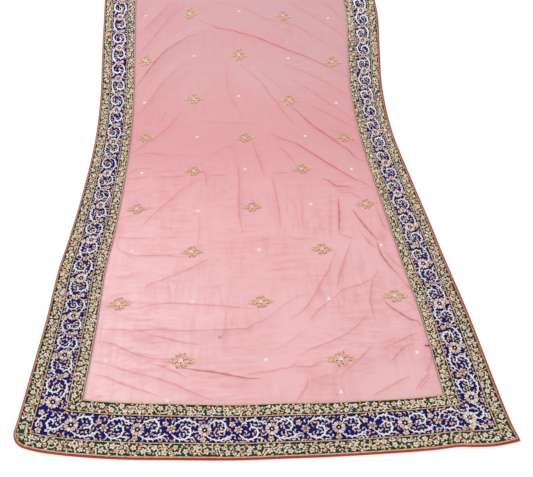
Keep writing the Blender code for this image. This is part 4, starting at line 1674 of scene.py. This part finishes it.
def sew_stretch(side, start, stretch):
    """Sew one stretch of the creeper that starts at a run, and note the room it takes."""
    long = float(lengthening(side, start))
    for radius, points in stretch.stems:
        bent = np.array(points) * MM
        bent[1:-1] += chance.uniform(*STEM_JITTER, bent[1:-1].shape) * MM
        line = smooth_line(bent, LINE_SPACING * MM)
        bold = chance.uniform(*STEM_BOLD) * (1 + FAR_BOLDER * far_share(side, start))
        shape = rope(line, radius * MM * bold, flat=0.9)
        tone = chance.uniform(*STEM_TONE) + FAR_PALER * float(far_share(side, start))
        sew_on_border(silver_stems, side, shape, one_spot(start, BLUE_MIDDLE, tone=tone))
        for place in line[::2]:
            taken[side].append((start + place[0] * long, BLUE_MIDDLE + place[1], STEM_ROOM))
        sew_spurs(side, start, line)
    for right, up in stretch.buds:
        spot = one_spot(start + right * MM * long, BLUE_MIDDLE + up * MM, chance.uniform(*ANY_TURN), 1.0,
                        chance.uniform(*BUD_TONE))
        sew_on_border(copper_flowers, side, BUD_FLOWER, spot)
        taken[side].append((spot.run[0], spot.inset[0], BUD_ROOM))


def sew_flower(side, run, large):
    """A large flower with a silver eye, or a small one."""
    inset = BLUE_MIDDLE + chance.uniform(*FLOWER_JITTER) * MM
    spot = one_spot(run, inset, chance.uniform(*ANY_TURN), chance.uniform(*FLOWER_GROW),
                    chance.uniform(*FLOWER_TONE))
    if large:
        sew_on_border(copper_flowers, side, LARGE_FLOWER, spot)
        sew_on_border(silver_spurs, side, SILVER_RAYS, spot)
        sew_on_border(silver_eyes, side, BEAD, spot._replace(tone=np.array([EYE_TONE])))
    else:
        sew_on_border(copper_flowers, side, SMALL_FLOWER, spot._replace(grow=SMALL_GROW * spot.grow))
        eye = spot._replace(grow=np.array([SMALL_EYE_GROW]), tone=np.array([SMALL_EYE_TONE]))
        sew_on_border(silver_eyes, side, BEAD, eye)
    taken[side].append((run, inset, LARGE_ROOM if large else SMALL_ROOM))


# %% Run the creeper round the border
for side in SIDES:
    places = flower_places(side)
    for number, run in enumerate(places):
        large = number % 2 == 0
        sew_flower(side, run, large)
        if number < len(places) - 1:
            sew_stretch(side, run, AFTER_LARGE if large else AFTER_SMALL)
    sew_stretch(side, CORNER_RUN, CORNER)


# %% Fill with leaves
BLOCK = 500
ROW_SHARE = 0.87


def lattice(side, first, last, low, high, pitch, jitter):
    """Places on a staggered lattice along a side, each moved a little."""
    rows = max(int(round((high - low) / (pitch * ROW_SHARE))), 1)
    runs = []
    insets = []
    for row, inset in enumerate(np.linspace(low, high, rows + 1)):
        run = pattern_steps(side, first + (row % 2) * pitch / 2, last, pitch)
        runs.append(run)
        insets.append(np.full(len(run), inset))
    run = np.concatenate(runs)
    inset = np.concatenate(insets)
    run = run + chance.uniform(-jitter, jitter, len(run))
    inset = np.clip(inset + chance.uniform(-jitter, jitter, len(run)), low, high)
    return run, inset


def clear_of(side, run, inset, obstacles):
    """Which places keep clear of obstacles, given as run, inset and room rows."""
    long = lengthening(side, run)[:, None]
    keep = np.ones(len(run), bool)
    for start in range(0, len(run), BLOCK):
        block = slice(start, start + BLOCK)
        off = np.hypot((run[block, None] - obstacles[None, :, 0]) / long[block],
                       inset[block, None] - obstacles[None, :, 1])
        keep[block] = (off > obstacles[None, :, 2]).all(axis=1)
    return keep


def leaf_spots(run, inset, grow, tone):
    """Spots with a random turn, and a size and a tone out of two ranges."""
    count = len(run)
    return Spots(run, inset, chance.uniform(0, 2 * math.pi, count), chance.uniform(*grow, count),
                 chance.uniform(*tone, count))


LEAF_PITCH = 7.4 * MM
LEAF_JITTER = 1.3 * MM
LEAF_MARGIN = 4.2 * MM
FAR_THINNING = 0.15
copper_leaves = Needlework()
for side in SIDES:
    first, last = OUTER_LINE + 3 * MM, side_size(side) - INNER_LINE
    low, high = OUTER_LINE + LEAF_MARGIN, INNER_LINE - LEAF_MARGIN
    run, inset = lattice(side, first, last, low, high, LEAF_PITCH, LEAF_JITTER)
    free = clear_of(side, run, inset, np.array(taken[side]))
    free &= chance.random(len(run)) > FAR_THINNING * far_share(side, run)
    spots = leaf_spots(run[free], inset[free], (0.75, 1.0), (0.25, 1.0))
    sew_on_border(copper_leaves, side, CURLED_LEAF, spots)
    print(side, "has", int(free.sum()), "curled leaves")

silver_stems.sew("creeper_stems", SILVER)
silver_spurs.sew("creeper_spurs", SILVER)
copper_flowers.sew("creeper_flowers", COPPER)
silver_eyes.sew("creeper_eyes", SILVER)
copper_leaves.sew("creeper_leaves", COPPER)

# %% [markdown]
# ## Blossom on the green ribbons
#
# The green ribbons are almost covered.  Five-petalled flowers stand in a wavy row, small leaves
# crowd round them so that the green shows only as dark gaps, mostly along the two edges, and one
# leaf in seven or so is silver.

# %% Cover the green ribbons
BLOSSOM_PITCH = 0.0185
BLOSSOM_WAVE = 4.0 * MM
BLOSSOM_JITTER = (-1.5, 1.5)
CROWD_PITCH = 4.7 * MM
GAP_PITCH = 12.4 * MM
GAP_ROOM = 3.9 * MM
GAP_MARGIN = 0.6 * MM
BLOSSOM_ROOM = 7.4 * MM
CROWD_MARGIN = 1.2 * MM
CROWD_JITTER = 1.1 * MM
CROWD_THINNING = 0.1
SILVER_SHARE = 0.15


def cover_green(name, low, high):
    """Sew the blossom of one green ribbon, as a copper piece and a silver one."""
    copper = Needlework()
    silver = Needlework()
    for side in SIDES:
        size = side_size(side)
        first, last = low, size - high
        count = int(round(pattern_length(side, first, last) / BLOSSOM_PITCH))
        run = pattern_steps(side, first, last, gaps=2 * count)[1::2]
        inset = (low + high) / 2 + np.where(np.arange(count) % 2, BLOSSOM_WAVE, -BLOSSOM_WAVE)
        inset = inset + chance.uniform(*BLOSSOM_JITTER, count) * MM
        blooms = leaf_spots(run, inset, (0.85, 1.02), (0.5, 0.8))
        sew_on_border(copper, side, BUD_FLOWER, blooms)
        gap_run = pattern_steps(side, first, last, GAP_PITCH / 2)
        gap_run = gap_run + chance.uniform(*BLOSSOM_JITTER, len(gap_run)) * MM
        gap_inset = np.where(np.arange(len(gap_run)) % 2, low + GAP_MARGIN, high - GAP_MARGIN)
        gaps = np.stack((gap_run, gap_inset, np.full(len(gap_run), GAP_ROOM)), axis=1)
        rooms = np.stack((run, inset, np.full(count, BLOSSOM_ROOM)), axis=1)
        leaf_run, leaf_inset = lattice(side, first, last, low + CROWD_MARGIN, high - CROWD_MARGIN,
                                       CROWD_PITCH, CROWD_JITTER)
        free = clear_of(side, leaf_run, leaf_inset, np.vstack((gaps, rooms)))
        free &= chance.random(len(leaf_run)) > CROWD_THINNING * far_share(side, leaf_run)
        leaf_run, leaf_inset = leaf_run[free], leaf_inset[free]
        bright = chance.random(len(leaf_run)) < SILVER_SHARE
        crowd = leaf_spots(leaf_run[~bright], leaf_inset[~bright], (0.8, 1.0), (0.15, 0.95))
        sew_on_border(copper, side, FAT_LEAF, crowd)
        sparks = leaf_spots(leaf_run[bright], leaf_inset[bright], (0.65, 0.9), (0.6, 0.95))
        sew_on_border(silver, side, FAT_LEAF, sparks)
    copper.sew(f"{name}_blossom", COPPER)
    silver.sew(f"{name}_silver", SILVER)


cover_green("green_outer", low=PIPING_LINE + 2.8 * MM, high=OUTER_LINE - 0.9 * MM)
cover_green("green_inner", low=INNER_LINE + 0.9 * MM, high=NET_LINE - 1.9 * MM)

# %% [markdown]
# ## Motifs and stars on the net
#
# Rows of small gold motifs are sewn over the net, two and three by turns, with silver stars in the
# gaps.  A motif is a lozenge of gold cord with looped ends and a silver flower in its middle.

# %% Where they are
# Like the creases, those in the picture are placed by it, and those past its top in metres.
MOTIFS_SEEN = (
    (190, 14), (283, 16), (146, 61), (239, 55), (332, 62), (194, 99), (289, 100), (146, 138),
    (245, 138), (344, 138), (194, 171), (302, 169), (137, 209), (252, 207), (366, 204), (192, 252),
    (322, 249), (119, 304), (261, 302), (395, 296), (181, 361), (341, 359),
)
MOTIFS_BEYOND = (
    (-.290, .580), (-.006, .592), (.284, .566), (-.150, .742), (.146, .730), (-.292, .905),
    (.004, .912), (.290, .898),
)
STARS_SEEN = (
    (146, 16), (239, 11), (328, 18), (194, 56), (288, 58), (145, 103), (239, 96), (336, 103),
    (197, 137), (305, 136), (142, 173), (245, 169), (351, 169), (198, 211), (311, 204), (132, 251),
    (259, 250), (381, 245), (192, 302), (329, 299), (106, 361), (266, 360), (417, 352), (167, 401),
    (341, 392),
)
STARS_BEYOND = (
    (-.152, .588), (.142, .580), (-.298, .748), (.002, .752), (.288, .738), (-.146, .908),
    (.150, .904),
)
MOTIFS = np.vstack((on_floor(MOTIFS_SEEN), MOTIFS_BEYOND))
STARS = np.vstack((on_floor(STARS_SEEN), STARS_BEYOND))

# %% The motif, in millimetres
LOZENGE = (
    (-22, 0), (-16.5, 2.4), (-12, 4.6), (-9, 9), (-3.5, 12.5), (4, 13), (9, 9), (12.5, 5), (17, 2.4),
    (22, 0), (16.5, -2.6), (12, -5), (8.5, -10), (2, -13), (-4, -12.5), (-9, -8), (-13, -4.2),
)
INNER_SCROLLS = (
    ((-17, 0), (-12, 3.5), (-8, 4), (-6.5, 0), (-10, -3.5)),
    ((17, 0), (12, -3.5), (8, -4), (6.5, 0), (10, 3.5)),
    ((-6, 6), (-1, 8.5), (4, 7.5), (4.5, 4)),
    ((6, -6), (1, -8.5), (-4, -7.5), (-4.5, -4)),
)
LOOPS = [(hand * right, up, radius) for hand in (-1, 1)
         for right, up, radius in ((25.5, 0, 2.4), (20.5, 3.6, 1.9), (20.5, -3.6, 1.9))]
LOOP_PLACES = 7
LEAF_LEANS = (-0.5, 0.6)
MOTIF_TINTS = (0.45, -0.9, 0.1)
MOTIF_ROPE = 1.1 * MM
SCROLL_ROPE = 1.0 * MM


def circle_line(right, up, radius):
    """Places round a small circle."""
    turn = np.linspace(0, 2 * math.pi, LOOP_PLACES, endpoint=False)
    return np.stack((right + radius * np.cos(turn), up + radius * np.sin(turn)), axis=1)


def leaves_along(line, grow):
    """Little leaves at every other place of a line, to its two sides and light and dark by turns."""
    at = np.arange(0, len(line), 2)
    turn = heading(line, at)
    return [move_shape(CURLED_LEAF, *line[spot], turn[number] + LEAF_LEANS[number % 2], grow,
                       tint=MOTIF_TINTS[number % 3])
            for number, spot in enumerate(at)]


def model_motif():
    """The gold and the silver part of a motif."""
    outline = smooth_line(LOZENGE + LOZENGE[:1], LINE_SPACING)[:-1] * MM
    gold = [rope(outline, MOTIF_ROPE, closed=True, twist=1.2, shade=DEEP_SHADE)]
    gold += leaves_along(outline, grow=0.8)
    for points in INNER_SCROLLS:
        line = smooth_line(points, LINE_SPACING) * MM
        gold += [rope(line, SCROLL_ROPE, shade=DEEP_SHADE)] + leaves_along(line, grow=0.68)
    gold += [rope(circle_line(*loop) * MM, MOTIF_ROPE, closed=True, shade=DEEP_SHADE) for loop in LOOPS]
    gold += [move_shape(BEAD, 5 * MM, 1 * MM, grow=0.9, tint=-0.5), move_shape(BEAD, 0, -4 * MM, tint=-0.5)]
    silver = [flower(move_shape(SMALL_PETAL, grow=0.6), count=4, reach=2.7 * MM, start=0.3)]
    silver += [move_shape(BEAD, right * MM, up * MM, grow=0.8) for right, up, radius in LOOPS[::3]]
    return join_shapes(gold), join_shapes(silver)


MOTIF_GOLD, MOTIF_SILVER = model_motif()
STAR = join_shapes([flower(move_shape(SMALL_PETAL, grow=0.66), count=5, reach=2.9 * MM),
                    move_shape(BEAD, grow=0.9)])
print("motif:", len(MOTIF_GOLD.faces) + len(MOTIF_SILVER.faces), "triangles")


# %% Sew them on
# How long each motif is along the cloth, and how wide across it, by how far up the floor it lies.
STRETCH_AT = (-0.9, -0.5, -0.2, 0.2, 0.5)
STRETCH_BY = (1.15, 1.06, 1.15, 2.15, 2.4)
SLIM_AT = (-0.92, -0.75, -0.5, -0.2, 0.2)
SLIM_BY = (1.05, 0.92, 0.84, 0.86, 0.92)
MOTIF_SWAY = 0.09
SUNK = 0.1 * MM


def sew_on_net(work, shape, place, turn, stretch, tone, slim=1.0):
    """Lay one shape on the net; stretch lengthens it along the cloth, slim narrows it across."""
    c, s = math.cos(turn), math.sin(turn)
    p, q, h = shape.points.T
    x = place[0] + (c * p - s * q) * slim
    y = place[1] + (s * p + c * q) * stretch
    work.add(on_net(x, y, h - SUNK), shape.faces, np.stack((p, q), axis=1), tone + shape.tint)


motif_gold = Needlework()
motif_silver = Needlework()
for x, y in brought_near(MOTIFS):
    stretch = float(np.interp(y, STRETCH_AT, STRETCH_BY))
    slim = float(np.interp(y, SLIM_AT, SLIM_BY))
    turn = chance.uniform(-MOTIF_SWAY, MOTIF_SWAY)
    sew_on_net(motif_gold, MOTIF_GOLD, (x, y), turn, stretch, tone=0.55, slim=slim)
    sew_on_net(motif_silver, MOTIF_SILVER, (x, y), turn, stretch, tone=0.8, slim=slim)
stars = Needlework()
for x, y in brought_near(STARS):
    sew_on_net(stars, STAR, (x, y), chance.uniform(0, 1), stretch=1.0, tone=0.9)
motif_gold.sew("net_motifs", BRIGHT_GOLD)
motif_silver.sew("net_motif_flowers", SILVER)
stars.sew("net_stars", SILVER)

# %% [markdown]
# ## A stray stitch
#
# One short end of red sewing thread shows on the net beside the right ribbon.

# %% Red stitch
STITCH_SEEN = (427, 346)
STITCH_BENDS = ((8, -7), (7.5, -2.5), (3, -0.5), (-1.5, 0), (-5, 2.5))
RED_STITCH = on_floor([STITCH_SEEN]) + np.array(STITCH_BENDS) * MM
STITCH_SPACING = 2 * MM
STITCH_RADIUS = 1.3 * MM
stitch = Needlework()
stitch_shape = rope(smooth_line(RED_STITCH, STITCH_SPACING), STITCH_RADIUS, flat=1.0)
stitch_points = on_net(*stitch_shape.points.T)
stitch.add(stitch_points, stitch_shape.faces, stitch_shape.points[:, :2], 0.5 + stitch_shape.tint)
stitch.sew("red_stitch", RED_SATIN)

# %% [markdown]
# ## Floor and light
#
# The stole lies on a plain pale floor that also glows, so that it looks white.  The sky is an even
# white, and one large soft lamp from the upper left gives the creases their shade.

# %% Floor
FLOOR_SIZE = 16
FLOOR_DROP = 0.0006
FLOOR_GLOW = 0.70
FLOOR_GREYS = (paint(150, 150, 150), paint(154, 154, 154))
bpy.ops.mesh.primitive_plane_add(size=FLOOR_SIZE, location=(0, 0, -FLOOR_DROP))
floor = bpy.context.object
floor.name = "floor"
floor_material, floor_tree, floor_shader = new_finish("pale_floor", 0.9)
floor_place = add_node(floor_tree, "ShaderNodeTexCoord").outputs["Object"]
floor_color = add_mix(floor_tree, add_noise(floor_tree, floor_place, 3.0), *FLOOR_GREYS)
floor_tree.links.new(floor_color, floor_shader.inputs["Base Color"])
floor_shader.inputs["Emission Color"].default_value = WHITE
floor_shader.inputs["Emission Strength"].default_value = FLOOR_GLOW
floor.data.materials.append(floor_material)
floor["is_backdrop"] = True

# %% Light
SKY_STRENGTH = 0.92
world = bpy.data.worlds.new("studio")
world.use_nodes = True
background = world.node_tree.nodes["Background"]
background.inputs["Color"].default_value = WHITE
background.inputs["Strength"].default_value = SKY_STRENGTH
bpy.context.scene.world = world
bpy.context.scene.view_settings.view_transform = "Standard"

LAMP_PLACE = Vector((-2.6, 1.6, 3.0))
LAMP_SIZE = 1.6
LAMP_POWER = 55
bpy.ops.object.light_add(type="AREA", location=LAMP_PLACE)
lamp = bpy.context.object
lamp.name = "soft_lamp"
lamp.rotation_euler = (-LAMP_PLACE).to_track_quat("-Z", "Y").to_euler()
lamp.data.size = LAMP_SIZE
lamp.data.energy = LAMP_POWER

# %% Sizes, then finish
low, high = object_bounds()
